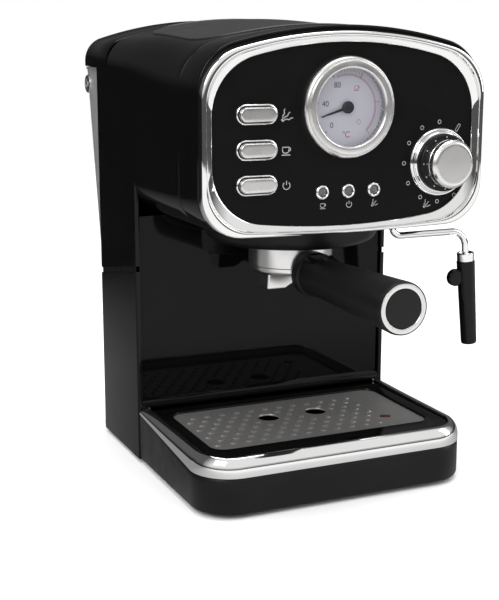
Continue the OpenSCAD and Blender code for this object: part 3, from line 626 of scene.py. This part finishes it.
lamp_rim = fillet(proud([(LAMP_R, 0), (LAMP_R - 0.3, 1.1), (LAMP_R - 1.1, 1.8), (3.1, 1.2), (3.05, 0)]),
                  0.4, 4)
lamp_lens = proud([(0, 1.3), (1.1, 1.25), (1.3, 0.9), (2.2, 0.6), (2.9, 0.2), (2.9, -2)])
for k, x in enumerate(LAMP_X):
    build(f"lamp_rim_{k + 1}", [spin(lamp_rim, "d", x, LAMP_Z, 48)], "chrome", "housing",
          ["indicator_rings"])
    build(f"lamp_lens_{k + 1}", [spin(lamp_lens, "d", x, LAMP_Z, 32)], "lamp", "housing",
          ["indicator_lenses"])
    signs += LAMP_ICONS[k](x + 0.9, LAMP_Z - 8.8, 4.6, SIGN_D)

# ---- steam knob ----

SCALE_R = 26.4                   # the signs round the knob
STEAM_ANGLE = 57                 # the bar that marks full steam

base_ring = fillet(proud([(KNOB_R, 0), (KNOB_R, 1.8), (KNOB_R - 0.9, 3), (KNOB_R - 2, 3),
                          (KNOB_R - 2.2, 2.4), (KNOB_R - 2.4, 3.8), (KNOB_R - 3.2, 4.6),
                          (KNOB_R - 4.8, 4.6), (4, 4.5)]), 0.4, 4)
build("knob_base_ring", [spin(base_ring, "d", KNOB_X, KNOB_Z, 120)], "chrome", "housing",
      ["knob_base_ring"])
skirt = fillet(proud([(4, 5), (KNOB_R - 3.5, 5), (KNOB_R - 3.7, 8.8), (KNOB_R - 4.5, 9.6), (4, 9.6)]),
               0.5, 4)
build("knob_skirt", [spin(skirt, "d", KNOB_X, KNOB_Z, 120)], "satin", "steam_knob",
      ["knob_skirt"])
knob_cap = fillet(proud([(4, 9.6), (CAP_R, 9.6), (CAP_R, 13.6), (CAP_R - 0.35, 13.9), (CAP_R, 14.2),
                         (CAP_R, 18), (CAP_R - 1.7, 19.7), (CAP_R - 3, 20), (0, 19.8)]),
                  [0.3, 0.1, 0.1, 0.1, 0.6, 0.8, 0.8], 4)
build("knob_cap", [spin(knob_cap, "d", KNOB_X, KNOB_Z, 120)], "pearl", "steam_knob",
      ["knob_cap"])
dots = []
for angle in range(0, 360, 30):
    x, z = polar(KNOB_X, KNOB_Z, CAP_R + 1.3, angle)
    dots.append(ribbon(circle(x, z, 0.35, 10), 0.4, FACE_D - 9.66, closed=True))
build("knob_dots", dots, "print", "steam_knob")

for angle in range(90, 301, 30):
    x, z = polar(KNOB_X, KNOB_Z, SCALE_R, angle)
    signs.append(ribbon(circle(x, z, 1.2, 20), 0.42, SIGN_D, closed=True))
bar_x, bar_z = polar(KNOB_X, KNOB_Z, SCALE_R, STEAM_ANGLE)
bar_cos, bar_sin = cos(radians(STEAM_ANGLE)), sin(radians(STEAM_ANGLE))
bar = [(bar_x + u * bar_cos - v * bar_sin, bar_z + u * bar_sin + v * bar_cos)
       for u, v in pill(0, 0, 5.4, 1.7, 8)]
signs.append(ribbon(bar, 0.4, SIGN_D, closed=True))
signs += steam_icon(KNOB_X - 8, KNOB_Z - 27.6, 5.4, SIGN_D)
build("printed_signs", signs, "print", "housing")

# ---- column and roof ----

SEAM = span("seam_band")
SEAM_HALF = 2                    # half the height of the band
JOINT_REAR = SEAM.z0 + SEAM_HALF
JOINT_FRONT = SEAM.z1 - SEAM_HALF
WING_D = UPPER.d1                # rear end of the side walls
ROOF_END = LID.d0 - 14.4
ROOF_START = COLUMN.d0 + 0.7


def joint_at(d):
    """Height of the sloping joint between the two housings."""
    return JOINT_REAR + (JOINT_FRONT - JOINT_REAR) * (WING_D - d) / (WING_D - COLUMN.d0)


def flank(side, rear=WING_D, inner=TANK.d0 + 7.5):
    """Plan of one side wall of the column, from its inside at the rear round to the panel in front."""
    line = fillet([(HALF_W - WALL, inner), (HALF_W - WALL, rear), (HALF_W, rear), (HALF_W, COLUMN.d0),
                   (HALF_W - FLANGE, COLUMN.d0), (HALF_W - FLANGE, PANEL.d0 + 3)], [0.1, 0.8, 1.6, 0.5])
    return [(side * x, d) for x, d in line]


def flank_wall(side, low, high):
    """The side wall between two heights, each a function of d."""
    line = flank(side)
    rings = [[(x, d, low(d)) for x, d in line], [(x, d, high(d)) for x, d in line]]
    return loft(rings, closed=False)


def head_top(d):
    """The part of the head's outline above its straight sides."""
    outline = head(0, d)
    return outline[-1:] + outline[:UPPER_COUNT + 1]


shell_edge = fillet([(WALL, COVER.d1 + 0.3), (0.4, COVER.d1 + 0.3), (0, COVER.d1 + 0.7), (0, COVER.d1 + 9)],
                    0.2, 2)
shell = [at_d(head(inset, d), d) for inset, d in shell_edge]
shell += [at_d(head(0, d), d) for d in (*range(60, 121, 10), ROOF_START)]

roof_rear = head_top(ROOF_END)
SIDE_TOP = roof_rear[0][1]
roof_inner = [(x * (HALF_W - WALL) / HALF_W, z - (WALL if z > SIDE_TOP + 40 else 0)) for x, z in roof_rear]
roof = [at_d(head_top(d), d) for d in (ROOF_START, 145, 160, ROOF_END)]
roof.append(at_d(roof_inner, ROOF_END))

wing_top = LID.z0 - 0.5
wing_plan = fillet([(0, ROOF_END), (0, WING_D), (-WALL, WING_D), (-WALL, TANK.d0 + 7)], [0.8, 0.1])
upper = [loft(shell), loft(roof, closed=False)]
for side in (-1, 1):
    upper.append(flank_wall(side, lambda d: joint_at(d) + SEAM_HALF, lambda d: SIDE_TOP))
    edge = [p for p in roof_rear if p[0] * side > 0 and p[1] < wing_top]
    edge = sorted(edge, key=lambda p: p[1])
    edge.append((edge[-1][0], wing_top))
    upper.append(loft([[(side * (abs(x) + u), d, z) for x, z in edge] for u, d in wing_plan], closed=False))
build("upper_housing", upper, "gloss", "housing", ["upper_housing"], sharp=40)

BUMP = Box(-HALF_W + 2, WING_D - 2, COLUMN.z0 + 4, HALF_W - 2, COLUMN.d1, 58)     # low box behind the tank
bump_rings = []
for inset, z in fillet([(3, BUMP.z0), (0, BUMP.z0), (0, BUMP.z1), (4, BUMP.z1)], [1.5, 3]):
    bump_plan = plan(BUMP.x0 + inset, BUMP.d0, BUMP.x1 - inset, BUMP.d1 - inset, 0.5, 7)
    bump_rings.append(at_z(bump_plan, z))
front_sill = [(COLUMN.d0, COLUMN.z0), (COLUMN.d0, PANEL.z0 - 0.3), (COLUMN.d0 + 5, PANEL.z0 - 0.3),
              (COLUMN.d0 + 5, COLUMN.z0)]
tank_shelf = [(TANK.d0 + 5.5, COLUMN.z0), (TANK.d0 + 5.5, BUMP.z1), (BUMP.d0 + 1, BUMP.z1),
              (BUMP.d0 + 1, COLUMN.z0)]
base = [flank_wall(side, lambda d: COLUMN.z0, lambda d: joint_at(d) - SEAM_HALF) for side in (-1, 1)]
base += [loft(bump_rings, caps=True),
         slab(front_sill, at_x, -HALF_W + 2, HALF_W - 2),
         slab(tank_shelf, at_x, -HALF_W + WALL, HALF_W - WALL)]
build("lower_housing", base, "gloss", "housing", ["lower_housing"], sharp=40)

bands = []
for side in (-1, 1):
    line = [(side * (HALF_W - 1.1), d) for d in (COLUMN.d0 + 2, WING_D - 0.5)]
    bands.append(loft([[(x, d, joint_at(d) + dz) for x, d in line] for dz in (-2.4, 2.4)], closed=False))
build("seam_band", bands, "satin", "housing", ["seam_band"])

panel_z0 = PANEL.z0 + 5
panel = plan(-HALF_W + FLANGE + 0.3, panel_z0, HALF_W - FLANGE - 0.3, PANEL.z1, 1, 1, 3)
build("backsplash", [slab(panel, at_d, PANEL.d0 + 2.8, PANEL.d0 + 5)], "panel", "housing",
      ["backsplash"], bevel=0.5)
ledge = fillet([(PANEL.d0 + 4, panel_z0 + 1.4), (PANEL.d0 + 2.6, panel_z0 + 0.8),
                (PANEL.d0 + 0.6, PANEL.z0 + 3.4), (PANEL.d0 + 0.2, PANEL.z0), (PANEL.d0 + 4, PANEL.z0)],
               [1.2, 1.2, 0.2])
build("ledge", [slab(ledge, at_x, -HALF_W + FLANGE + 0.2, HALF_W - FLANGE - 0.2)], "gloss", "housing")

shroud_r = (SHROUD.x1 - SHROUD.x0) / 2
shroud = spin(fillet([(46, SHROUD.z1), (shroud_r - 0.4, SHROUD.z1), (shroud_r - 2.5, SHROUD.z0 + 4),
                      (shroud_r - 9, SHROUD.z0), (47, SHROUD.z0), (46, SHROUD.z1)], [0.4, 4, 3, 1]),
              "z", 0, GROUP_D, 144)
build("group_shroud", [moved(shroud, lambda p: (p[0], min(p[1], SHROUD.d1), p[2]))], "satin", "housing",
      ["group_shroud"])

# ---- roof: tank lid and cup plate ----

LID_R = 18                       # how the lid rounds down at the rear
LID_CORNER = 29                  # how it rounds in at the rear corners


def falling(d, end, r):
    """How far a quarter circle of radius r that ends at distance end has fallen at distance d."""
    past = max(0.0, d - (end - r))
    return r - sqrt(max(r ** 2 - past ** 2, 0))


def lid_ring(d, inset=0.0):
    """The lid's section at distance d: the head's outline above the lid's lower edge, lower and narrower
    as the roof rounds down to the rear."""
    height = COVER.z1 + ROOF_RISE - LID.z0
    share = max(height - falling(d, LID.d1, LID_R), 1.2) / height
    narrow = falling(d, LID.d1, LID_CORNER)
    line = [p for p in head(inset, LID.d1)[:UPPER_COUNT] if p[1] > LID.z0]
    edge_x = max(x for x, z in line)
    line = [(edge_x, LID.z0)] + line + [(-edge_x, LID.z0)]
    return [(x * (edge_x - narrow) / edge_x, d, LID.z0 + (z - LID.z0) * share) for x, z in line]


lid_front = ROOF_END + 2.8
lid_d = [lid_front, lid_front + 0.3, lid_front + 1, LID.d0 + 8, LID.d1 - LID_R]
lid_d += [LID.d1 - LID_R + LID_R * sin(radians(a)) for a in range(6, 84, 6)] + [LID.d1 - 0.05]
lid_insets = [0.5, 0.2] + [0] * (len(lid_d) - 2)
lid_rings = [lid_ring(d, inset) for d, inset in zip(lid_d, lid_insets)]
build("tank_lid", [loft(lid_rings, caps=True)], "gloss", "tank_lid",
      ["tank_lid"], sharp=40, weld=0.02)


def roof_z(x):
    """Height of the crowned roof at x, at the front."""
    return COVER.z1 - CROWN_R + sqrt(CROWN_R ** 2 - x ** 2)


def cut_sides(outline, arc_count, cuts):
    """A plan's outline with each straight side cut up, so that it can follow the crown. arc_count is the
    number of points on each round corner."""
    line = []
    for i, a in enumerate(outline):
        b = outline[(i + 1) % len(outline)]
        n = 1 if (i + 1) % arc_count else cuts
        line += [(a[0] + (b[0] - a[0]) * k / n, a[1] + (b[1] - a[1]) * k / n) for k in range(n)]
    return line


PLATE_D0, PLATE_D1 = PLATE.d0 - 1, ROOF_END - 4
raised_rim = [(0, -1), (0, 0.5), (0.5, 1), (1.4, 1), (1.9, 0.5)]
plate_rings = []
for inset, lift in raised_rim + [(inset, 0.5) for inset in range(3, 79, 5)]:
    corner = max(40 - inset, 0.5)
    outline = plan(PLATE.x0 + inset, PLATE_D0 + inset, PLATE.x1 - inset, PLATE_D1 - inset, corner, corner)
    plate_rings.append([(x, d, roof_z(x) + rise(d) + lift) for x, d in cut_sides(outline, 11, 20)])
build("cup_plate", [loft(plate_rings, caps=True)], "plate", "housing", ["cup_plate"])

# ---- water tank ----

TANK_X = HALF_W - 5
TANK_FOOT_D = 225.4              # rear of the tank at its bottom, from where it leans out to TANK.d1
TANK_LEAN = (TANK.d1 - TANK_FOOT_D) / (TANK.z1 - TANK.z0)
BOSS_D, BOSS_Z = 252, 272


def tank_ring(z, inset):
    """The tank's plan at height z, drawn in by inset."""
    rear = TANK_FOOT_D + (z - TANK.z0) * TANK_LEAN
    return at_z(plan(-TANK_X + inset, TANK.d0 + 8 + inset, TANK_X - inset, rear - inset, 4 - inset * 0.6,
                     13 - inset), z)


tank = [tank_ring(TANK.z0, 2), tank_ring(TANK.z0 + 0.4, 0.7), tank_ring(TANK.z0 + 2, 0.1),
        tank_ring(TANK.z1 - 0.4, 0.1), tank_ring(TANK.z1, 0.6), tank_ring(TANK.z1, 1.8),
        tank_ring(TANK.z1 - 0.4, 2.2), tank_ring(TANK.z0 + 4, 2.2), tank_ring(TANK.z0 + 2.4, 3.5)]
build("water_tank", [loft(tank, caps=True)], "tank", "tank", ["water_tank"], sharp=40)
rim = span("tank_rim")
rim_rings = []
for z, inset in [(rim.z0, 0.6), (rim.z0, 0), (rim.z1, 0), (rim.z1, 4.6), (rim.z0, 4.6), (rim.z0, 0.6)]:
    rim_rings.append(at_z(plan(rim.x0 + inset, rim.d0 + inset, rim.x1 - inset, rim.d1 - inset, 4, 15), z))
build("tank_rim", [loft(rim_rings)], "tank", "tank", ["tank_rim"], bevel=0.3)
boss_profile = [(7, -0.4), (7, 0.7), (6.2, 1.3), (4.6, 1.2), (4.2, 0.6), (2.4, 0.7), (1.8, 1.5), (0, 1.6)]
for side, label in ((-1, "left"), (1, "right")):
    boss = [(r, side * (TANK_X + out)) for r, out in boss_profile]
    build("tank_boss_" + label, [spin(fillet(boss, 0.3, 3), "x", BOSS_D, BOSS_Z, 48)], "pearl", "tank")

# ---- brew group and portafilter ----

RING_R = 30                      # without the bayonet lugs
RING_BORE_R = 26.4
RING_Z0 = RING.z0 + 5
LUG_R = 34.8

ring_profile = fillet([(4, RING_Z0), (RING_R - 2.4, RING_Z0), (RING_R - 0.6, RING_Z0 + 2.4),
                       (RING_R - 0.6, RING_Z0 + 5), (RING_R, RING_Z0 + 5.6), (RING_R, RING.z1),
                       (RING_BORE_R, RING.z1), (RING_BORE_R, RING_Z0 + 2), (4, RING_Z0 + 2)],
                      [1, 1, 0.2, 0.3, 0.4, 0.4, 1], 4)
neck = fillet([(9, GROUP_D - 24.5), (9, GRIP.d1 + 0.9), (8, GRIP.d1 + 0.5), (4.2, GRIP.d1 + 0.5)], 0.4)
portafilter = [spin(ring_profile, "z", 0, GROUP_D, 120), spin(neck, "d", 0, GRIP_Z + 1, 48)]
for turn in (0, 180):
    lug = (arc(0, GROUP_D, LUG_R, turn - 14, turn + 14, 10)
           + arc(0, GROUP_D, RING_R - 1, turn + 14, turn - 14, 10))
    portafilter.append(slab(lug, at_z, RING.z1 - 3.6, RING.z1 - 0.6))
build("portafilter_ring", portafilter, "pearl", "portafilter", ["portafilter_ring"])
spout = span("coffee_spout")
spout_x = spout.x1 + 3
spout_outline = [(-spout_x, spout.z0), (-8, spout.z0), (0, spout.z0 + 4.5), (8, spout.z0),
                 (spout_x, spout.z0), (spout_x - 0.8, RING_Z0 + 0.3), (-spout_x + 0.8, RING_Z0 + 0.3)]
build("coffee_spout", [slab(spout_outline, at_d, spout.d0, spout.d1)], "pearl", "portafilter",
      ["coffee_spout"], bevel=1.4)
grip = fillet([(5, GRIP.d1), (15, GRIP.d1), (15.6, GRIP.d1 - 0.7), (15.6, GRIP.d1 - 8.6),
               (14.3, GRIP.d1 - 9.6), (13.6, 34), (14.2, 10), (15.8, -40), (16.8, GRIP.d0 + 2),
               (16.3, GRIP.d0 + 0.2), (15.7, GRIP.d0 + 0.2), (15.7, GRIP.d0 + 1.2)],
              [0.5, 0.5, 0.6, 0.8, 8, 14, 14, 1.4, 0.2, 0.1], 8)
build("handle_grip", [spin(grip, "d", 0, GRIP_Z, 120)], "grip", "portafilter",
      ["handle_grip"])

clip = span("filter_clip")
CLIP_D = 42                      # the pin that the clip turns on
ear = [(CLIP_D + 8, GRIP_Z + 11), (CLIP_D - 9, GRIP_Z + 11)] + arc(CLIP_D, clip.z0 + 1, 3.4, 150, 30, 10)
build("clip_ears", [slab(ear, at_x, side * 7.6, side * 9.8) for side in (-1, 1)], "grip", "portafilter",
      bevel=0.5)
end_ring = fillet([(15.6, GRIP.d0 + 1), (15.6, GRIP.d0 + 0.1), (15.2, GRIP.d0), (12.7, GRIP.d0),
                   (12.4, GRIP.d0 + 0.6), (12.4, GRIP.d0 + 1.5)], 0.2, 3)
build("handle_ring", [spin(end_ring, "d", 0, GRIP_Z, 96)], "pearl", "portafilter",
      ["handle_ring"])
end_cap = fillet([(12.1, GRIP.d0 + 3), (12.1, GRIP.d0 + 0.5), (11.6, GRIP.d0 + 0.3), (0, GRIP.d0 + 0.25)],
                 0.4, 4)
build("handle_cap", [spin(end_cap, "d", 0, GRIP_Z, 96)], "grip", "portafilter",
      ["handle_cap"])
lever = [(clip.d0, clip.z0 + 2.2), (clip.d0 + 2, clip.z0 + 3.6), (CLIP_D - 2, clip.z1 - 0.4),
         (CLIP_D + 3, clip.z1), (clip.d1 - 1, clip.z1), (clip.d1, clip.z1 - 1.6),
         (CLIP_D + 2, clip.z0 + 0.6), (CLIP_D - 2, clip.z0 + 0.2)]
build("filter_clip", [slab(lever, at_x, -6.8, 6.8)], "grip", "filter_clip", ["filter_clip"],
      bevel=0.6)

# ---- steam wand ----

NUT = span("wand_nut")
PIPE = span("steam_pipe")
WAND_X, WAND_D = (NUT.x0 + NUT.x1) / 2, (NUT.d0 + NUT.d1) / 2
PIPE_R = (PIPE.d1 - PIPE.d0) / 2
RUN_Z = 172                      # the pipe's level run
FIRST_BEND, OUTER_BEND = 7, 12   # radii of the bends at its ends
REACH = 61
LEAN = radians(5)                # of the pipe and sleeve below the outer bend
ELBOW_X, ELBOW_Z = WAND_X + REACH, RUN_Z - OUTER_BEND


def leaning(p):
    """A place in the frame of the leaning lower part of the wand, whose origin is under its outer bend."""
    x, d, z = p
    return ELBOW_X + x * cos(LEAN) - z * sin(LEAN), WAND_D + d, ELBOW_Z + x * sin(LEAN) + z * cos(LEAN)


path = [(WAND_X, PIPE.z1)]
path += arc(WAND_X + FIRST_BEND, RUN_Z + FIRST_BEND, FIRST_BEND, 180, 270, 12)
path += arc(ELBOW_X - OUTER_BEND, ELBOW_Z, OUTER_BEND, 90, 0, 16)
for fall in (4, 30, 70):
    x, d, z = leaning((0, 0, -fall))
    path.append((x, z))
build("steam_pipe", [tube(path, WAND_D, PIPE_R)], "chrome", "steam_wand", ["steam_pipe"])
nut = fillet([(PIPE_R + 0.1, NUT.z0), (6.4, NUT.z0), (7.4, NUT.z0 + 1), (7.4, NUT.z1)], 0.6)
build("wand_nut", [spin(nut, "z", WAND_X, WAND_D, 48)], "satin", "housing", ["wand_nut"])
sleeve = fillet([(3.6, -60), (3.6, -71), (4, -72), (5, -72), (5.7, -71), (6.6, -10.4), (6.3, -10),
                 (PIPE_R + 0.1, -10)], [0.4, 0.4, 0.8, 0.8, 0.3, 0.2], 4)
tab = fillet([(0, -2.6), (5.4, -2.6), (6.2, -1.8), (6.2, 1.8), (5.4, 2.6), (0, 2.6)], 0.6, 4)
build("frother_sleeve", [moved(spin(sleeve, "z", 0, 0, 64), leaning),
                         moved(spin(tab, "d", -9.5, -21, 64), leaning)], "gloss", "frother",
      ["frother_sleeve"])
collar = fillet([(PIPE_R + 0.1, -9.9), (6.2, -9.9), (6.2, -4.4), (5.7, -3.8), (4.4, -3.8), (4.1, -5.2),
                 (PIPE_R + 0.1, -5.2)], 0.2, 3)
build("frother_collar", [moved(spin(collar, "z", 0, 0, 48), leaning)], "chrome", "frother",
      ["frother_collar"])

# ---- drip tray ----


FRAME = span("tray_frame")
TRAY_CORNER = 28
TRAY_FLOOR = 10                  # top of the tray's floor
TRIM_SLIM = 0.68                 # share of its height that the trim loses towards the rear
SLIM_D = 25                      # where it starts to
GRATE_CORNER = 10
GRATE_GAP = 0.4                  # round the grate, inside the frame
FLOAT_X, FLOAT_D = (FLOAT.x0 + FLOAT.x1) / 2, (FLOAT.d0 + FLOAT.d1) / 2


def trim_lift(z, d):
    """The lower edge of the trim rises towards the rear; its top stays level."""
    return TRIM.z1 - (TRIM.z1 - z) * (1 - TRIM_SLIM * eased(d, SLIM_D, TRIM.d1))


def tray_ring(inset, z, lifted=False, rear=0.0):
    """The tray's plan at height z, drawn in by inset, and by rear at the rear. lifted follows the trim."""
    corner = max(TRAY_CORNER - inset, 4)
    outline = plan(TRAY.x0 + inset, TRAY.d0 + inset, TRAY.x1 - inset, TRIM.d1 - rear, corner, 0.6, 14)
    return [(x, d, trim_lift(z, d) if lifted else z) for x, d in outline]


def opening(inset, z):
    """The frame's opening at height z, drawn in by inset."""
    grow = GRATE_GAP - inset
    corner = GRATE_CORNER + GRATE_GAP - min(inset, 4)
    return at_z(plan(GRATE.x0 - grow, GRATE.d0 - grow, GRATE.x1 + grow, GRATE.d1 + grow, corner, corner, 14),
                z)


wall_steps = [(4, TRAY.z0, False), (1, TRAY.z0 + 0.3, False), (0.1, TRAY.z0 + 2, False),
              (0.1, TRIM.z0 - 4, True), (0.15, TRIM.z0 - 0.4, True), (0.6, TRIM.z0, True),
              (2.4, TRIM.z0, True), (2.5, TRAY_FLOOR, False)]
wall_rings = [tray_ring(inset, z, lifted, min(inset, 2.5)) for inset, z, lifted in wall_steps]
float_tube = fillet([(4.6, TRAY_FLOOR), (4.6, 26), (6.4, 26), (6.4, TRAY_FLOOR)], 0.5, 3)
build("drip_tray", [loft(wall_rings, caps=True), spin(float_tube, "z", FLOAT_X, FLOAT_D, 40)], "satin",
      "drip_tray", ["drip_tray"], sharp=50)
trim_profile = fillet([(7.5, TRIM.z0 + 1), (0.8, TRIM.z0 + 0.05), (0, TRIM.z0 + 0.6), (0, TRIM.z0 + 6),
                       (1.3, TRIM.z1 - 3.6), (4, TRIM.z1 - 0.4), (6, TRIM.z1), (7.4, TRIM.z1 - 0.7),
                       (7.5, TRIM.z1 - 2.4), (7.5, TRIM.z0 + 2)],
                      [0.3, 0.3, 3, 2.4, 1.4, 0.8, 0.6, 0.6], 6)
trim_rings = [tray_ring(inset, z, True, min(inset, 0.5)) for inset, z in trim_profile]
build("tray_trim", [loft(trim_rings)], "chrome", "drip_tray", ["tray_trim"], sharp=50)


frame_rings = [tray_ring(8.2, FRAME.z1 - 3, rear=2.6), tray_ring(7.8, FRAME.z1 - 0.6, rear=2.5),
               tray_ring(8.3, FRAME.z1, rear=3), opening(-1.2, FRAME.z1), opening(-0.3, FRAME.z1 - 0.3),
               opening(0, FRAME.z1 - 0.9), opening(0, GRATE.z0 - 0.1), opening(4.3, GRATE.z0 - 0.1),
               opening(4.4, GRATE.z0 - 1.4)]
build("tray_frame", [loft(frame_rings)], "gloss", "drip_tray", ["tray_frame"], sharp=40)
slot_rings = []
for inset, lift in [(0, -0.2), (0.15, 0.1), (0.4, 0.12)]:
    slot = plan(88.3 + inset, 40 + inset, 91.9 - inset, 112 - inset, 1.7 - inset, 1.7 - inset, 6)
    slot_rings.append(at_z(slot, FRAME.z1 + lift))
build("tray_slot", [loft(slot_rings, caps=True)], "satin", "drip_tray")

WELL_X, WELL_D, WELL_R = 19, 83, 8       # the two drain holes, left and right
FLOAT_HOLE_R = 4.2
PITCH_X, PITCH_D = 11.4, 8.7             # of the small holes, each row set over by half a pitch
SHEET_Z = (GRATE.z0 + GRATE.z1) / 2
SHEET_WALL = 0.9

small_holes = []
for row in range(8):
    for column in range(-6, 6):
        x = (column + (row % 2) / 2) * PITCH_X - 8
        d = GRATE.d0 + 12.5 + row * PITCH_D
        from_well = hypot(abs(x) - WELL_X, d - WELL_D)
        from_float = hypot(x - FLOAT_X, d - FLOAT_D)
        if from_well > WELL_R + 2.8 and from_float > FLOAT_HOLE_R + 3.6:
            small_holes.append((x, d))
sheet = plan(GRATE.x0, GRATE.d0, GRATE.x1, GRATE.d1, GRATE_CORNER, GRATE_CORNER)
cut = [circle(x, d, 1.2, 16) for x, d in small_holes]
cut += [circle(side * WELL_X, WELL_D, WELL_R) for side in (-1, 1)]
cut.append(circle(FLOAT_X, FLOAT_D, FLOAT_HOLE_R, 32))
crater = [(2.9, SHEET_Z + 0.44), (2.5, SHEET_Z + 0.6), (2.0, SHEET_Z + 1.15), (1.6, SHEET_Z + 1.35),
          (1.2, SHEET_Z + 1.2), (1.1, SHEET_Z - 0.3)]
well_edge = [(WELL_R + 0.6, SHEET_Z + 0.46), (WELL_R + 0.2, SHEET_Z + 0.5), (WELL_R - 0.1, SHEET_Z + 0.2),
             (WELL_R - 0.2, SHEET_Z - 0.9)]
grate = [pierced(sheet, cut, SHEET_WALL, lambda u, v, w: (u, v, SHEET_Z + w))]
grate += [spin(crater, "z", x, d, 16) for x, d in small_holes]
grate += [spin(well_edge, "z", side * WELL_X, WELL_D, 40) for side in (-1, 1)]
build("drip_grate", grate, "sheet", "grate", ["drip_grate"], sharp=50)
bob = fillet([(0, FLOAT.z1), (2.2, FLOAT.z1 - 0.1), (3.6, FLOAT.z1 - 1.4), (3.6, 22), (4.2, 21),
              (4.2, FLOAT.z0), (0, FLOAT.z0)], 0.6, 4)
build("level_float", [spin(bob, "z", FLOAT_X, FLOAT_D, 40)], "float", "float", ["level_float"])

# ---- parts that keep their CAD shape ----

CAD_FINISHES = {
    "satin": ["rear_cover", "base_plate", "cable_gland"],
    "rubber": ["rubber_feet", "group_gasket"],
    "alloy": ["group_head", "boiler"],
    "steel": ["shower_screen", "shower_screw", "filter_basket", "clip_pin", "handle_bolt", "base_screws",
              "lid_pin"],
    "brass": ["valve_spindle", "steam_valve"],
    "board": ["switch_board"],
    "hose": ["water_hoses"],
    "dial": ["pump"],
}
for key, names in CAD_FINISHES.items():
    for name in names:
        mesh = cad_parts[name].data
        mesh.materials.clear()
        mesh.materials.append(FINISHES[key])

# ---- floor, light and camera ----


def times(nodes, links, a, b):
    """The product of two shader values."""
    product = nodes.new("ShaderNodeMath")
    product.operation = "MULTIPLY"
    links.new(a, product.inputs[0])
    links.new(b, product.inputs[1])
    return product.outputs["Value"]


def stage_floor():
    """A white floor. Mirrors see a painted reflection of it: to glossy rays it is a glowing sheet, painted
    bright in front of the machine and darker behind.
    """
    mesh = bpy.data.meshes.new("floor")
    bm = bmesh.new()
    bmesh.ops.create_circle(bm, cap_ends=True, segments=96, radius=2.2)
    bm.to_mesh(mesh)
    bm.free()
    floor = bpy.data.objects.new("floor", mesh)
    bpy.context.scene.collection.objects.link(floor)
    material = finish("floor", (0.97, 0.97, 0.97), (0.7, 0.8), vary=0.01, bump=0.02)
    nodes, links = material.node_tree.nodes, material.node_tree.links
    place = nodes.new("ShaderNodeSeparateXYZ")
    links.new(nodes.new("ShaderNodeTexCoord").outputs["Object"], place.inputs["Vector"])
    # Painted reflection: how brightly the floor glows to glossy rays, full in front and fading towards the
    # rear.
    near = ranged(nodes, links, place.outputs["Y"], 1.0, 0.28, -0.3, 0.0)
    far = ranged(nodes, links, place.outputs["Y"], 1.0, 0.04, 0.3, 0.8)
    painted_reflection_glow = nodes.new("ShaderNodeEmission")
    links.new(times(nodes, links, near, far), painted_reflection_glow.inputs["Strength"])
    mix = nodes.new("ShaderNodeMixShader")
    links.new(nodes.new("ShaderNodeLightPath").outputs["Is Glossy Ray"], mix.inputs["Fac"])
    links.new(nodes["Principled BSDF"].outputs["BSDF"], mix.inputs[1])
    links.new(painted_reflection_glow.outputs["Emission"], mix.inputs[2])
    links.new(mix.outputs["Shader"], nodes["Material Output"].inputs["Surface"])
    mesh.materials.append(material)


def softbox(name, place, aim, size, power):
    """A rectangular lamp at a place, turned to an aim, both in metres."""
    lamp = bpy.data.lights.new(name, "AREA")
    lamp.shape = "RECTANGLE"
    lamp.size, lamp.size_y = size
    lamp.energy = power
    box = bpy.data.objects.new(name, lamp)
    box.location = place
    box.rotation_mode = "QUATERNION"
    box.rotation_quaternion = (Vector(aim) - Vector(place)).to_track_quat("-Z", "Y")
    bpy.context.scene.collection.objects.link(box)


def world_light():
    """White to the camera, to glass and to matt surfaces. Mirrors see a room that is bright in front and
    above, dim behind and dark along the horizon."""
    world = bpy.data.worlds.new("studio")
    world.use_nodes = True
    bpy.context.scene.world = world
    nodes, links = world.node_tree.nodes, world.node_tree.links
    white = nodes["Background"]
    white.inputs["Color"].default_value = (1, 1, 1, 1)
    white.inputs["Strength"].default_value = 1.0
    room = nodes.new("ShaderNodeBackground")
    way = nodes.new("ShaderNodeSeparateXYZ")
    links.new(nodes.new("ShaderNodeTexCoord").outputs["Generated"], way.inputs["Vector"])
    front = ranged(nodes, links, way.outputs["Y"], 1.0, 0.12, -0.3, 0.2)
    above = ranged(nodes, links, way.outputs["Z"], 0.1, 1.0, 0.03, 0.2)
    links.new(times(nodes, links, front, above), room.inputs["Strength"])
    mix = nodes.new("ShaderNodeMixShader")
    links.new(nodes.new("ShaderNodeLightPath").outputs["Is Glossy Ray"], mix.inputs["Fac"])
    links.new(white.outputs["Background"], mix.inputs[1])
    links.new(room.outputs["Background"], mix.inputs[2])
    links.new(mix.outputs["Shader"], nodes["World Output"].inputs["Surface"])


stage_floor()
world_light()
softbox("key", (-1.5, -1.2, 1.6), (0, 0, 0.15), (1.2, 1.2), 24)
softbox("fill", (1.9, -0.9, 1.0), (0, 0, 0.2), (0.7, 1.6), 12)
softbox("top", (0.1, 0.2, 1.9), (0, 0, 0), (1.6, 1.2), 24)

EYE_LEFT, EYE_AHEAD, EYE_UP = 0.37476, 0.68538, 0.31027      # metres from the tray's front on the table
LOOK_DOWN, LOOK_RIGHT = 12.31, 23.91                         # degrees
camera = bpy.data.cameras.new("camera")
camera.sensor_fit = "HORIZONTAL"
camera.sensor_width = 36
camera.lens = 88.07
eye = bpy.data.objects.new("camera", camera)
eye.location = (MIDDLE_X - EYE_LEFT, FRONT_Y - EYE_AHEAD, EYE_UP)
eye.rotation_euler = (radians(90 - LOOK_DOWN), 0, radians(-LOOK_RIGHT))
bpy.context.scene.collection.objects.link(eye)
bpy.context.scene.camera = eye
bpy.context.scene.view_settings.view_transform = "Standard"
